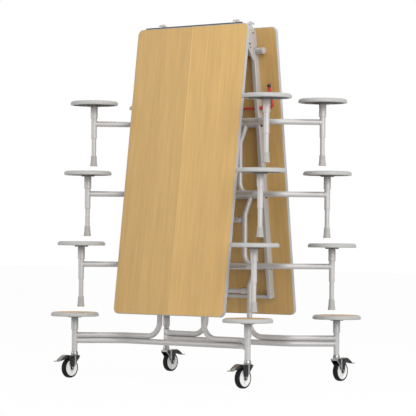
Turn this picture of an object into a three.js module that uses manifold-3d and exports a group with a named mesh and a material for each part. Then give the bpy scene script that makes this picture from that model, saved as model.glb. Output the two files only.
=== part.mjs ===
// Folding cafeteria table on four braked castors, folded upright, with a round stool at every place.
// Millimetres, +Z up. The origin is on the floor, midway between the two halves.
// X runs along the centre hinge, and each half leans away from the plane Y = 0.
// Each half is drawn once in its own frame, where +Y points outwards.
// The front half is that frame turned round Z.
import * as THREE from "three";
import { mergeVertices } from "three/addons/utils/BufferGeometryUtils.js";
import Module from "manifold-3d";

const wasm = await Module();
wasm.setup();

// Fold and rows. Row 1 is next to the centre hinge and row 4 is at the outer end, on the castors.
const ROWS = 4;
const PITCH = 457;
const LEAN = THREE.MathUtils.degToRad(7);
const GAP = 0.3;
const CUT_OVERSHOOT = 1;
const WELD_DISTANCE = 1e-3;

// Tabletop halves
const TOP_LENGTH = 1838;
const TOP_WIDTH = 900;
const TOP_THICKNESS = 22;
const TOP_CORNER = 38;
const TOP_BOTTOM_EDGE_Z = 416;
const BAND_THICKNESS = 3;
const BAND_CROWN_START = 4;
const BAND_CROWN_FALL = 1.2;
const CENTRE_GAP = 12;
const STRIP_HALF_LENGTH = 392;
const STRIP_HEIGHT = 10.5;
const STRIP_DEPTH = 16;

// Stool carriers, each in a frame with z = 0 at its feet and y = 0 on the middle of its crossbar
const BASE_CROSSBAR_Y = 232;
const STOOL_X = 705;
const STOOL_Y = 224;
const ARM_BEND_X = 490;
const ARM_BEND_RADIUS = 100;
const ARM_Z = 273;
const LOWER_TUBE_Z = 237.5;
const TUBE_R = 18;
const STRUT_R = 16.5;
const BASE_STRUT_R = 17;
const STRUT_X = 180;
const STRUT_TAIL_X = 275;
const STRUT_BEND_RADIUS = 76;
const BASE_STRUT_BEND_RADIUS = 98;
const STRUT_KNEE_Z = 600;
const STRUT_KNEE_RADIUS = 60;
const CROSS_TUBE_Z = 563;
const CROSS_TUBE_R = 14;
const PIVOT_Y = 60;
const PIVOT_Z = 713;
const PIVOT_R = 13;
const PIVOT_END_GAP = 1.5;
const PIN_R = 7;
const PIN_BORE_R = 8.2;
const PIN_RECESS = 1;

// Stools
const SEAT_R = 153.5;
const SEAT_TOP_Z = 420;
const SEAT_THICKNESS = 27;
const SEAT_UPPER_EDGE = { inset: 9, height: 11 };
const SEAT_LOWER_EDGE = { inset: 7, height: 6 };
const SEAT_TAPER = 2;
const SEAT_BOSS_R = 44;
const SEAT_BOSS_HEIGHT = 7;
const SLEEVE_R = 23;
const SLEEVE_BOTTOM_Z = 307;
const POST_R = 18.5;
const POST_BOTTOM_Z = 177;
const FOOT_TUBE_R = 15;
const FERRULE_HEIGHT = 65;
const FERRULE_TOP_R = 18.5;
const FERRULE_R = 23.5;

// Underframe of each half
const RAIL_X = 288;
const RAIL_WIDTH = 30;
const RAIL_DEPTH = 46;
const RAIL_START = 135;
const RAIL_END = 1730;
const HINGE_CROSS_RAIL_START = 88;
const CROSS_RAIL_WIDTH = 22;
const CROSS_RAIL_DEPTH = 40;
const PIVOT_DEPTH = 45;
const TORSION_R = 21;
const TORSION_REACH = 60;
const TORSION_ABOVE_PIVOT = 16;
const ARM_PLATE_THICKNESS = 12;
const FRONT_ARM_PLATE_X = 302.3;
const REAR_ARM_PLATE_X = 289;
const ARM_PLATE_LENGTH = 215;
const HINGE_EYE_R = 26;
const HINGE_ROD_R = 10;
const HINGE_BORE_R = 11.2;
const HINGE_ROD_HALF_LENGTH = 318;
const HORN_DEPTH = 71;
const HORN_WIDTH = 18;
const HORN_TOP = 44;
const HORN_BAR_WIDTH = 76;
const HORN_BAR_HEIGHT = 15;
const HORN_DROOP = 8;
const HORN_SHOULDER = 19;
const ARM_SHOULDER_SETBACK = 9;
const ARM_STRAIGHT_START = 47.5;

// Levelling links
const LINK_WIDTH = 20;
const LINK_THICKNESS = 12;
const LINK_EYE_R = 24;
const LINK_BORE_R = 16;

// Fold lock on the rear half
const LOCK_DOWN = 509;
const LOCK_R = 8;
const LOCK_BORE_R = 9.4;
const LOCK_LEFT_X = -318;
const LOCK_RIGHT_X = 405;
const LEVER_LENGTH = 130;
const LEVER_OFFSET = 23;
const LEVER_BEND_RADIUS = 26;
const KNOB_R = 13;

// Castors
const CASTOR_HEIGHT = 168;
const CASTOR_TRAIL = 44;
const WHEEL_R = 63.5;
const WHEEL_SIDES = 16;
const WHEEL_HALF_WIDTH = 18;
const WHEEL_CHAMFER = 6;
const AXLE_R = 6;
const AXLE_BORE_R = 7;
const FORK_HEAD_R = 24;
const FORK_INNER_X = 22;
const FORK_OUTER_X = 26;
const FORK_CROWN_Z = 131;
const FORK_CROWN_THICKNESS = 12;
const FORK_CROWN_REACH = 63;
const FORK_NECK = 12;
const FORK_LEG_HALF_WIDTH = 16;
const FORK_LEG_RISE = 4;
const FORK_TIP_HALF_WIDTH = 9;
const FORK_TIP_DROP = 13;
const PEDAL_PIVOT_Y = 72;
const PEDAL_PIVOT_Z = 134;
const PEDAL_HALF_WIDTH = 17;
const PEDAL_PIN_R = 4;
const PEDAL_PIN_GAP = 0.5;
const PEDAL_REACH_Y = 180;
const PEDAL_TOE_Z = 110;

const TUBE_SIDES = 8;
const ROUND_SIDES = 12;
const BEND_STEPS = 3;
const LEVER_BEND_STEPS = 5;
const SEAT_SIDES = 20;

const FINISH = {
  laminate: { color: 0xcfa968, roughness: 0.45, metalness: 0 },
  edge: { color: 0xb4b4ba, roughness: 0.55, metalness: 0 },
  seat: { color: 0xc4bdb0, roughness: 0.5, metalness: 0 },
  frame: { color: 0xb6b1ae, roughness: 0.42, metalness: 0.35 },
  ferrule: { color: 0xaaa9a8, roughness: 0.75, metalness: 0 },
  strip: { color: 0x3c3e44, roughness: 0.7, metalness: 0 },
  steel: { color: 0xc8c9cb, roughness: 0.3, metalness: 0.9 },
  tyre: { color: 0x1b1b1c, roughness: 0.7, metalness: 0 },
  pedal: { color: 0x4a4b4d, roughness: 0.6, metalness: 0 },
  lock: { color: 0xc2323a, roughness: 0.4, metalness: 0.1 },
  knob: { color: 0x161616, roughness: 0.35, metalness: 0 },
};

const HALVES = [
  { name: "front", turn: Math.PI, facing: -1, armPlateX: FRONT_ARM_PLATE_X },
  { name: "rear", turn: 0, facing: 1, armPlateX: REAR_ARM_PLATE_X },
];

// Places that follow from the driving dimensions, in the frame of one half
const sinLean = Math.sin(LEAN);
const cosLean = Math.cos(LEAN);
const topEdgeZ = TOP_BOTTOM_EDGE_Z + TOP_LENGTH * cosLean;
const basePivotDown = (topEdgeZ - PIVOT_DEPTH * sinLean - PIVOT_Z) / cosLean;
const topEdgeY = BASE_CROSSBAR_Y + PIVOT_Y - basePivotDown * sinLean + PIVOT_DEPTH * cosLean;
const hingeDepth = (topEdgeY - (CENTRE_GAP / 2) * sinLean) / cosLean;
const rowsUp = (row) => ROWS - row;
const rowPivotDown = (row) => basePivotDown - PITCH * rowsUp(row);
const seatBottomZ = SEAT_TOP_Z - SEAT_THICKNESS;
const sleeveTopZ = seatBottomZ - SEAT_BOSS_HEIGHT - GAP;
const undersideY = -TOP_THICKNESS - GAP;
const railInnerX = RAIL_X - RAIL_WIDTH / 2;
const railOuterX = RAIL_X + RAIL_WIDTH / 2;

// A closed geometry as a solid that can be joined and cut.
function solid(geometry) {
  const source = geometry.index ? geometry.toNonIndexed() : geometry;
  const bare = new THREE.BufferGeometry();
  bare.setAttribute("position", source.getAttribute("position"));
  const merged = mergeVertices(bare, WELD_DISTANCE);
  const corner = merged.index.array;
  const triVerts = [];
  for (let i = 0; i < corner.length; i += 3) {
    const [a, b, c] = [corner[i], corner[i + 1], corner[i + 2]];
    if (a !== b && b !== c && c !== a) triVerts.push(a, b, c);
  }
  return new wasm.Manifold(
    new wasm.Mesh({
      numProp: 3,
      vertProperties: merged.attributes.position.array,
      triVerts: new Uint32Array(triVerts),
    }),
  );
}

const joined = (solids) => solids.reduce((all, next) => all.add(next));
const cut = (body, tools) => tools.reduce((left, tool) => left.subtract(tool), body);

// A named mesh of a solid, with a material of its own.
function piece(name, body, finish) {
  const data = body.getMesh();
  const geometry = new THREE.BufferGeometry();
  geometry.setAttribute("position", new THREE.BufferAttribute(data.vertProperties, 3));
  geometry.setIndex(new THREE.BufferAttribute(data.triVerts, 1));
  geometry.computeVertexNormals();
  const mesh = new THREE.Mesh(geometry, new THREE.MeshStandardMaterial(finish));
  mesh.name = name;
  return mesh;
}

function box([x0, x1], [y0, y1], [z0, z1]) {
  const geometry = new THREE.BoxGeometry(x1 - x0, y1 - y0, z1 - z0);
  geometry.translate((x0 + x1) / 2, (y0 + y1) / 2, (z0 + z1) / 2);
  return solid(geometry);
}

// A polygon whose flats stand at the given radius, so that a round piece keeps its width.
function roundOutline(radius, sides) {
  const corner = radius / Math.cos(Math.PI / sides);
  const points = [];
  for (let i = 0; i < sides; i += 1) {
    const angle = (2 * Math.PI * (i + 0.5)) / sides;
    points.push(new THREE.Vector2(corner * Math.cos(angle), corner * Math.sin(angle)));
  }
  return points;
}

// A round bar along X between two ends.
function barAlongX(x0, x1, y, z, radius, sides = TUBE_SIDES) {
  const shape = new THREE.Shape(roundOutline(radius, sides));
  const geometry = new THREE.ExtrudeGeometry(shape, { depth: x1 - x0, bevelEnabled: false });
  geometry.rotateY(Math.PI / 2);
  geometry.translate(x0, y, z);
  return solid(geometry);
}

// A plate that lies in Y and Z, given by its outline, between two places along X.
function plateAcrossX(outline, x0, x1) {
  const shape = new THREE.Shape(outline.map(([y, z]) => new THREE.Vector2(y, z)));
  const geometry = new THREE.ExtrudeGeometry(shape, { depth: x1 - x0, bevelEnabled: false });
  const axes = [new THREE.Vector3(0, 1, 0), new THREE.Vector3(0, 0, 1), new THREE.Vector3(1, 0, 0)];
  geometry.applyMatrix4(new THREE.Matrix4().makeBasis(...axes));
  geometry.translate(x0, 0, 0);
  return solid(geometry);
}

// A turned piece round a vertical axis at (x, y), from pairs of radius and height.
function turned(profile, sides, x = 0, y = 0) {
  const points = profile.map(([radius, z]) => new THREE.Vector2(radius, z));
  const geometry = new THREE.LatheGeometry(points, sides);
  geometry.rotateX(Math.PI / 2);
  geometry.translate(x, y, 0);
  return solid(geometry);
}

// A path of straight runs joined by arcs, with one ring of a tube at each of its own points.
class BentPath extends THREE.Curve {
  constructor(corners, radii, stepsPerBend) {
    super();
    this.rings = [];
    const points = corners.map((corner) => new THREE.Vector3(...corner));
    const last = points.length - 1;
    const direction = (i) => points[i + 1].clone().sub(points[i]).normalize();
    this.rings.push({ at: points[0], along: direction(0) });
    for (let i = 1; i < last; i += 1) {
      this.bend(points[i], direction(i - 1), direction(i), radii[i - 1], stepsPerBend);
    }
    this.rings.push({ at: points[last], along: direction(last - 1) });
  }

  bend(corner, before, after, radius, steps) {
    const turn = before.angleTo(after);
    const start = corner.clone().addScaledVector(before, -radius * Math.tan(turn / 2));
    const inward = after.clone().addScaledVector(before, -before.dot(after)).normalize();
    for (let i = 0; i <= steps; i += 1) {
      const angle = (turn * i) / steps;
      const at = start.clone();
      at.addScaledVector(before, radius * Math.sin(angle));
      at.addScaledVector(inward, radius * (1 - Math.cos(angle)));
      const along = before.clone().multiplyScalar(Math.cos(angle));
      along.addScaledVector(inward, Math.sin(angle));
      this.rings.push({ at, along });
    }
  }

  ring(u) {
    return this.rings[Math.round(u * (this.rings.length - 1))];
  }

  getPointAt(u, target = new THREE.Vector3()) {
    return target.copy(this.ring(u).at);
  }

  getTangentAt(u, target = new THREE.Vector3()) {
    return target.copy(this.ring(u).along);
  }
}

function bentTube(corners, radii, radius, stepsPerBend = BEND_STEPS) {
  const extrudePath = new BentPath(corners, radii, stepsPerBend);
  const shape = new THREE.Shape(roundOutline(radius, TUBE_SIDES));
  return solid(new THREE.ExtrudeGeometry(shape, { steps: extrudePath.rings.length - 1, extrudePath }));
}

// Tabletop pieces, in the frame of a leaning top: y = 0 on the outer face and z = 0 on the hinge edge.
// With a crown, the faces fall away from the inset outline to the rim of the top.
// A negative fall makes the board thicker than the top, for cutting through it.
function roundedBoard(inset, crownFall = 0) {
  const half = TOP_WIDTH / 2 - inset;
  const radius = TOP_CORNER - inset;
  const high = -inset;
  const low = -TOP_LENGTH + inset;
  const shape = new THREE.Shape();
  shape.absarc(half - radius, high - radius, radius, 0, Math.PI / 2);
  shape.absarc(-half + radius, high - radius, radius, Math.PI / 2, Math.PI);
  shape.absarc(-half + radius, low + radius, radius, Math.PI, 1.5 * Math.PI);
  shape.absarc(half - radius, low + radius, radius, 1.5 * Math.PI, 2 * Math.PI);
  const geometry = new THREE.ExtrudeGeometry(shape, {
    depth: TOP_THICKNESS - 2 * crownFall,
    curveSegments: 4,
    bevelEnabled: crownFall > 0,
    bevelThickness: crownFall,
    bevelSize: inset,
    bevelSegments: 1,
  });
  geometry.translate(0, 0, crownFall);
  geometry.rotateX(Math.PI / 2);
  return solid(geometry);
}

// The plate that carries one side of the centre hinge, with its T-shaped horn above the hinge edge.
function hingeArm(x) {
  const eyeZ = CENTRE_GAP / 2;
  const outline = [
    [undersideY, -ARM_PLATE_LENGTH],
    [undersideY, -ARM_STRAIGHT_START],
    [undersideY - ARM_SHOULDER_SETBACK, -HORN_SHOULDER],
    [-HORN_DEPTH + HORN_WIDTH / 2, HORN_SHOULDER],
    [-HORN_DEPTH - HORN_WIDTH / 2, HORN_SHOULDER],
    [-hingeDepth, eyeZ + 0.96 * HINGE_EYE_R],
    [-hingeDepth - 0.92 * HINGE_EYE_R, eyeZ - HINGE_EYE_R / 2],
    [undersideY - RAIL_DEPTH, -ARM_PLATE_LENGTH],
  ];
  const ends = [x - ARM_PLATE_THICKNESS / 2, x + ARM_PLATE_THICKNESS / 2];
  const column = [-HORN_DEPTH - HORN_WIDTH / 2, -HORN_DEPTH + HORN_WIDTH / 2];
  const [barStart, barEnd] = [-HORN_DEPTH - HORN_BAR_WIDTH / 2, -HORN_DEPTH + HORN_BAR_WIDTH / 2];
  const bar = [
    [barStart, HORN_TOP - HORN_BAR_HEIGHT - HORN_DROOP],
    [-HORN_DEPTH, HORN_TOP - HORN_BAR_HEIGHT],
    [barEnd, HORN_TOP - HORN_BAR_HEIGHT - HORN_DROOP],
    [barEnd, HORN_TOP - HORN_DROOP],
    [-HORN_DEPTH, HORN_TOP],
    [barStart, HORN_TOP - HORN_DROOP],
  ];
  return joined([
    plateAcrossX(outline, ...ends),
    barAlongX(...ends, -hingeDepth, eyeZ, HINGE_EYE_R, ROUND_SIDES),
    box(ends, column, [0, HORN_TOP - HORN_BAR_HEIGHT / 2]),
    plateAcrossX(bar, ...ends),
  ]);
}

function underframe(half) {
  const depth = [undersideY - RAIL_DEPTH, undersideY];
  const crossDepth = [undersideY - CROSS_RAIL_DEPTH, undersideY];
  const span = [-RAIL_X, RAIL_X];
  const plateSpan = [-half.armPlateX, half.armPlateX];
  const parts = [
    box(span, crossDepth, [-RAIL_END, -RAIL_END + CROSS_RAIL_WIDTH]),
    box(plateSpan, crossDepth, [-HINGE_CROSS_RAIL_START - CROSS_RAIL_WIDTH, -HINGE_CROSS_RAIL_START]),
  ];
  const bores = [
    barAlongX(-HINGE_ROD_HALF_LENGTH, HINGE_ROD_HALF_LENGTH, -hingeDepth, CENTRE_GAP / 2, HINGE_BORE_R),
  ];
  for (const side of [-1, 1]) {
    const middle = side * RAIL_X;
    parts.push(box([middle - RAIL_WIDTH / 2, middle + RAIL_WIDTH / 2], depth, [-RAIL_END, -RAIL_START]));
    parts.push(hingeArm(side * half.armPlateX));
    const torsion = [side * RAIL_X, side * (railOuterX + TORSION_REACH)].sort((a, b) => a - b);
    const torsionZ = TORSION_ABOVE_PIVOT - rowPivotDown(1);
    parts.push(barAlongX(...torsion, -PIVOT_DEPTH, torsionZ, TORSION_R, ROUND_SIDES));
    const boreEnds = [side * (railInnerX - CUT_OVERSHOOT), side * (railOuterX + CUT_OVERSHOOT)];
    const bore = boreEnds.sort((a, b) => a - b);
    for (let row = 1; row <= ROWS; row += 1) {
      bores.push(barAlongX(...bore, -PIVOT_DEPTH, -rowPivotDown(row), PIN_BORE_R));
    }
    if (half.facing > 0) bores.push(barAlongX(...bore, -PIVOT_DEPTH, -LOCK_DOWN, LOCK_BORE_R));
  }
  return cut(joined(parts), bores);
}

function lockRod() {
  const corners = [
    [LOCK_LEFT_X, -PIVOT_DEPTH, -LOCK_DOWN],
    [LOCK_RIGHT_X, -PIVOT_DEPTH, -LOCK_DOWN],
    [LOCK_RIGHT_X, -PIVOT_DEPTH - LEVER_OFFSET, -LOCK_DOWN + LEVER_LENGTH],
  ];
  return bentTube(corners, [LEVER_BEND_RADIUS], LOCK_R, LEVER_BEND_STEPS);
}

// The ball on the lever, in a frame whose z runs out along the lever.
function lockKnob() {
  const profile = [[0, GAP]];
  const first = THREE.MathUtils.degToRad(-50);
  const rings = 6;
  const centreZ = GAP - KNOB_R * Math.sin(first);
  for (let i = 0; i < rings; i += 1) {
    const angle = first + ((Math.PI / 2 - first) * i) / rings;
    profile.push([KNOB_R * Math.cos(angle), centreZ + KNOB_R * Math.sin(angle)]);
  }
  profile.push([0, centreZ + KNOB_R]);
  return turned(profile, ROUND_SIDES);
}

// Stool carrier pieces
function carrier(isBase) {
  const crossbarZ = isBase ? LOWER_TUBE_Z : ARM_Z;
  const postBottom = isBase ? CASTOR_HEIGHT : POST_BOTTOM_Z;
  const crossbar = [
    [-STOOL_X, STOOL_Y, crossbarZ],
    [-ARM_BEND_X, 0, crossbarZ],
    [ARM_BEND_X, 0, crossbarZ],
    [STOOL_X, STOOL_Y, crossbarZ],
  ];
  const post = [
    [0, postBottom],
    [POST_R, postBottom],
    [POST_R, SLEEVE_BOTTOM_Z],
    [SLEEVE_R, SLEEVE_BOTTOM_Z],
    [SLEEVE_R, sleeveTopZ],
    [0, sleeveTopZ],
  ];
  const pinEnd = railOuterX - PIN_RECESS;
  const pivotEnd = railInnerX - PIVOT_END_GAP;
  const parts = [
    bentTube(crossbar, [ARM_BEND_RADIUS, ARM_BEND_RADIUS], TUBE_R),
    barAlongX(-STRUT_X, STRUT_X, 0, CROSS_TUBE_Z, CROSS_TUBE_R),
    barAlongX(-pivotEnd, pivotEnd, PIVOT_Y, PIVOT_Z, PIVOT_R),
    barAlongX(-pinEnd, pinEnd, PIVOT_Y, PIVOT_Z, PIN_R),
  ];
  for (const side of [-1, 1]) {
    const armEnd = [side * STOOL_X, STOOL_Y, ARM_Z];
    const armBend = [side * ARM_BEND_X, 0, ARM_Z];
    const start = isBase ? [armEnd, armBend] : [[side * STRUT_TAIL_X, 0, ARM_Z]];
    const startRadii = isBase ? [ARM_BEND_RADIUS] : [];
    const strut = [
      ...start,
      [side * STRUT_X, 0, ARM_Z],
      [side * STRUT_X, 0, STRUT_KNEE_Z],
      [side * STRUT_X, PIVOT_Y, PIVOT_Z],
    ];
    const bendRadius = isBase ? BASE_STRUT_BEND_RADIUS : STRUT_BEND_RADIUS;
    const radii = [...startRadii, bendRadius, STRUT_KNEE_RADIUS];
    parts.push(bentTube(strut, radii, isBase ? BASE_STRUT_R : STRUT_R));
    parts.push(turned(post, TUBE_SIDES, side * STOOL_X, STOOL_Y));
  }
  return joined(parts);
}

function seat() {
  const profile = [
    [0, seatBottomZ - SEAT_BOSS_HEIGHT],
    [SEAT_BOSS_R, seatBottomZ - SEAT_BOSS_HEIGHT],
    [SEAT_BOSS_R, seatBottomZ],
    [SEAT_R - SEAT_LOWER_EDGE.inset, seatBottomZ],
    [SEAT_R, seatBottomZ + SEAT_LOWER_EDGE.height],
    [SEAT_R - SEAT_TAPER, SEAT_TOP_Z - SEAT_UPPER_EDGE.height],
    [SEAT_R - SEAT_UPPER_EDGE.inset, SEAT_TOP_Z],
    [0, SEAT_TOP_Z],
  ];
  return turned(profile, SEAT_SIDES);
}

function foot() {
  const profile = [
    [0, 0],
    [FERRULE_R, 0],
    [FERRULE_TOP_R, FERRULE_HEIGHT],
    [FOOT_TUBE_R, FERRULE_HEIGHT],
    [FOOT_TUBE_R, POST_BOTTOM_Z - GAP],
    [0, POST_BOTTOM_Z - GAP],
  ];
  return turned(profile, TUBE_SIDES);
}

// Castor pieces, in a frame with the swivel axis on x = y = 0 and the wheel trailing towards +Y
function castorFork() {
  const crownTop = FORK_CROWN_Z + FORK_CROWN_THICKNESS;
  const leg = [
    [-FORK_HEAD_R, crownTop],
    [-FORK_HEAD_R + 6, FORK_CROWN_Z],
    [CASTOR_TRAIL - FORK_LEG_HALF_WIDTH, WHEEL_R + FORK_LEG_RISE],
    [CASTOR_TRAIL - FORK_TIP_HALF_WIDTH, WHEEL_R - FORK_TIP_DROP],
    [CASTOR_TRAIL + FORK_TIP_HALF_WIDTH, WHEEL_R - FORK_TIP_DROP],
    [CASTOR_TRAIL + FORK_LEG_HALF_WIDTH, WHEEL_R + FORK_LEG_RISE],
    [FORK_CROWN_REACH, FORK_CROWN_Z - 6],
    [PEDAL_PIVOT_Y + 9, PEDAL_PIVOT_Z - 8],
    [PEDAL_PIVOT_Y + 9, crownTop],
  ];
  const head = [
    [0, FORK_CROWN_Z],
    [FORK_HEAD_R, FORK_CROWN_Z],
    [FORK_HEAD_R, CASTOR_HEIGHT - FORK_NECK],
    [POST_R, CASTOR_HEIGHT - GAP],
    [0, CASTOR_HEIGHT - GAP],
  ];
  return joined([
    turned(head, ROUND_SIDES),
    box([-FORK_OUTER_X, FORK_OUTER_X], [-FORK_HEAD_R + 4, FORK_CROWN_REACH], [FORK_CROWN_Z, crownTop]),
    plateAcrossX(leg, -FORK_OUTER_X, -FORK_INNER_X),
    plateAcrossX(leg, FORK_INNER_X, FORK_OUTER_X),
    barAlongX(-FORK_OUTER_X, FORK_OUTER_X, CASTOR_TRAIL, WHEEL_R, AXLE_R),
  ]);
}

function castorWheel() {
  const corner = WHEEL_R / Math.cos(Math.PI / WHEEL_SIDES);
  const profile = [
    [AXLE_BORE_R, -WHEEL_HALF_WIDTH],
    [corner - WHEEL_CHAMFER, -WHEEL_HALF_WIDTH],
    [corner, -WHEEL_HALF_WIDTH + WHEEL_CHAMFER],
    [corner, WHEEL_HALF_WIDTH - WHEEL_CHAMFER],
    [corner - WHEEL_CHAMFER, WHEEL_HALF_WIDTH],
    [AXLE_BORE_R, WHEEL_HALF_WIDTH],
    [AXLE_BORE_R, -WHEEL_HALF_WIDTH],
  ];
  const points = profile.map(([radius, x]) => new THREE.Vector2(radius, x));
  const geometry = new THREE.LatheGeometry(points, WHEEL_SIDES);
  geometry.rotateY(Math.PI / WHEEL_SIDES);
  geometry.rotateZ(-Math.PI / 2);
  return solid(geometry);
}

function castorPedal() {
  const outline = [
    [PEDAL_PIVOT_Y - 4, PEDAL_PIVOT_Z - 6],
    [PEDAL_PIVOT_Y + 28, PEDAL_PIVOT_Z - 14],
    [PEDAL_REACH_Y - 40, PEDAL_TOE_Z],
    [PEDAL_REACH_Y - 28, PEDAL_TOE_Z - 3],
    [PEDAL_REACH_Y - 2, PEDAL_TOE_Z - 3],
    [PEDAL_REACH_Y, PEDAL_TOE_Z],
    [PEDAL_REACH_Y - 2, PEDAL_TOE_Z + 2],
    [PEDAL_REACH_Y - 28, PEDAL_TOE_Z + 3],
    [PEDAL_REACH_Y - 36, PEDAL_TOE_Z + 12],
    [PEDAL_PIVOT_Y + 44, PEDAL_PIVOT_Z + 5],
    [PEDAL_PIVOT_Y + 28, PEDAL_PIVOT_Z + 12],
    [PEDAL_PIVOT_Y + 10, PEDAL_PIVOT_Z + 15],
    [PEDAL_PIVOT_Y - 4, PEDAL_PIVOT_Z + 12],
  ];
  const pinEnd = FORK_INNER_X - PEDAL_PIN_GAP;
  return joined([
    plateAcrossX(outline, -PEDAL_HALF_WIDTH, PEDAL_HALF_WIDTH),
    barAlongX(-pinEnd, pinEnd, PEDAL_PIVOT_Y, PEDAL_PIVOT_Z, PEDAL_PIN_R),
  ]);
}

// The bar that keeps the carriers of one half upright, in a frame along the lean from the base row up
function levellingLink() {
  const across = [-LINK_THICKNESS / 2, LINK_THICKNESS / 2];
  const length = PITCH * rowsUp(1);
  const parts = [box(across, [-LINK_WIDTH / 2, LINK_WIDTH / 2], [0, length])];
  const bores = [];
  for (let row = 1; row <= ROWS; row += 1) {
    const z = PITCH * rowsUp(row);
    parts.push(barAlongX(...across, 0, z, LINK_EYE_R));
    bores.push(barAlongX(-LINK_THICKNESS, LINK_THICKNESS, 0, z, LINK_BORE_R));
  }
  return cut(joined(parts), bores);
}

const SHARED = {
  bandRing: cut(roundedBoard(BAND_CROWN_START, BAND_CROWN_FALL), [
    roundedBoard(BAND_THICKNESS, -CUT_OVERSHOOT),
  ]),
  board: roundedBoard(BAND_THICKNESS + GAP),
  rowCarrier: carrier(false),
  baseCarrier: carrier(true),
  seat: seat(),
  foot: foot(),
  fork: castorFork(),
  wheel: castorWheel(),
  pedal: castorPedal(),
  link: levellingLink(),
};

// The leaning half of the top, with all that is fixed to it.
function topGroup(half) {
  const group = new THREE.Group();
  group.position.set(0, topEdgeY, topEdgeZ);
  group.rotation.x = LEAN;
  group.add(piece(`${half.name}_tabletop`, SHARED.board, FINISH.laminate));
  group.add(piece(`${half.name}_edge_band`, SHARED.bandRing, FINISH.edge));
  group.add(piece(`${half.name}_underframe`, underframe(half), FINISH.frame));
  return group;
}

// The bumper along the hinge edge and the rod of the centre hinge belong to the front half.
function addHinge(top) {
  const middle = -TOP_THICKNESS / 2;
  const depth = [middle - STRIP_DEPTH / 2, middle + STRIP_DEPTH / 2];
  const strip = box([-STRIP_HALF_LENGTH, STRIP_HALF_LENGTH], depth, [GAP, STRIP_HEIGHT]);
  const ends = [-HINGE_ROD_HALF_LENGTH, HINGE_ROD_HALF_LENGTH];
  const rod = barAlongX(...ends, -hingeDepth, CENTRE_GAP / 2, HINGE_ROD_R);
  top.add(piece("centre_bumper_strip", strip, FINISH.strip));
  top.add(piece("centre_hinge_rod", rod, FINISH.steel));
}

// The red rod, its lever and its knob belong to the rear half.
function addLock(top) {
  top.add(piece("lock_rod", lockRod(), FINISH.lock));
  const knob = piece("lock_knob", lockKnob(), FINISH.knob);
  knob.position.set(LOCK_RIGHT_X, -PIVOT_DEPTH - LEVER_OFFSET, -LOCK_DOWN + LEVER_LENGTH);
  knob.rotation.x = Math.atan2(LEVER_OFFSET, LEVER_LENGTH);
  top.add(knob);
}

function castorGroup(label, x) {
  const group = new THREE.Group();
  group.position.set(x, STOOL_Y, 0);
  group.add(piece(`castor_fork_${label}`, SHARED.fork, FINISH.steel));
  const wheel = piece(`castor_wheel_${label}`, SHARED.wheel, FINISH.tyre);
  wheel.position.set(0, CASTOR_TRAIL, WHEEL_R);
  group.add(wheel);
  group.add(piece(`brake_pedal_${label}`, SHARED.pedal, FINISH.pedal));
  return group;
}

// One carrier with its two stools, on feet or on castors.
function carrierGroup(half, row) {
  const isBase = row === ROWS;
  const group = new THREE.Group();
  const up = PITCH * rowsUp(row);
  group.position.set(0, BASE_CROSSBAR_Y - up * sinLean, up * cosLean);
  const body = isBase ? SHARED.baseCarrier : SHARED.rowCarrier;
  group.add(piece(`${half.name}_carrier_${row}`, body, FINISH.frame));
  for (const x of [-STOOL_X, STOOL_X]) {
    const side = x * half.facing > 0 ? "right" : "left";
    const stool = piece(`seat_${half.name}_${row}_${side}`, SHARED.seat, FINISH.seat);
    stool.position.set(x, STOOL_Y, 0);
    group.add(stool);
    if (isBase) {
      group.add(castorGroup(`${half.name}_${side}`, x));
    } else {
      const foot = piece(`foot_${half.name}_${row}_${side}`, SHARED.foot, FINISH.ferrule);
      foot.position.set(x, STOOL_Y, 0);
      group.add(foot);
    }
  }
  return group;
}

function linkMesh(half) {
  const link = piece(`${half.name}_levelling_link`, SHARED.link, FINISH.frame);
  link.position.set(0, BASE_CROSSBAR_Y, CROSS_TUBE_Z);
  link.rotation.x = LEAN;
  return link;
}

const table = new THREE.Group();
for (const half of HALVES) {
  const group = new THREE.Group();
  group.rotation.z = half.turn;
  const top = topGroup(half);
  if (half.facing < 0) addHinge(top);
  else addLock(top);
  group.add(top);
  for (let row = 1; row <= ROWS; row += 1) group.add(carrierGroup(half, row));
  group.add(linkMesh(half));
  table.add(group);
}

export default table;
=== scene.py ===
"""Looks of a folding cafeteria table with round stools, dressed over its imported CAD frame."""

import logging
import math
from dataclasses import dataclass
from enum import Enum
from typing import Any, Iterable, Sequence, Union

import bmesh
import bpy
from mathutils import Matrix, Vector


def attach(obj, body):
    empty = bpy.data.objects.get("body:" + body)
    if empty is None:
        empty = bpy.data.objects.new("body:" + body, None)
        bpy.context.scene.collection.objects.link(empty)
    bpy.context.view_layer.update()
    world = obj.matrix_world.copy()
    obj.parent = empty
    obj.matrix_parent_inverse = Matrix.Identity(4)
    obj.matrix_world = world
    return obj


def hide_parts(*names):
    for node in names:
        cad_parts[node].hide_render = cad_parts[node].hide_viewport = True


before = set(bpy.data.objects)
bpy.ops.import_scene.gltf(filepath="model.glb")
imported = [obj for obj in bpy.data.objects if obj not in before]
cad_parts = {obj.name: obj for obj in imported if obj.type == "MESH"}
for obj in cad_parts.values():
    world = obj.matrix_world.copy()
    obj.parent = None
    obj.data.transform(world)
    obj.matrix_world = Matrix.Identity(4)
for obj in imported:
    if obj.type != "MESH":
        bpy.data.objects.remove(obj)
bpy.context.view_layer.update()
LOG = logging.getLogger("table")
MM = 0.001
ORIGIN = (0.0, 0.0, 0.0)

Number = Union[int, float]
Colour = tuple[float, float, float]
Point = Sequence[float]
Outline = list[tuple[float, float]]


class Half(Enum):
    """A half of the table, with the way that it faces along Y."""

    FRONT = -1
    REAR = 1

    @property
    def label(self) -> str:
        """The half's name in node and body names."""
        return self.name.lower()


class Side(Enum):
    """A side of the table, with its sign along X."""

    LEFT = -1
    RIGHT = 1

    @property
    def label(self) -> str:
        """The side's name in node names."""
        return self.name.lower()


class Axis(Enum):
    """An axis of a frame, with its place in a point."""

    X = 0
    Y = 1
    Z = 2


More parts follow.
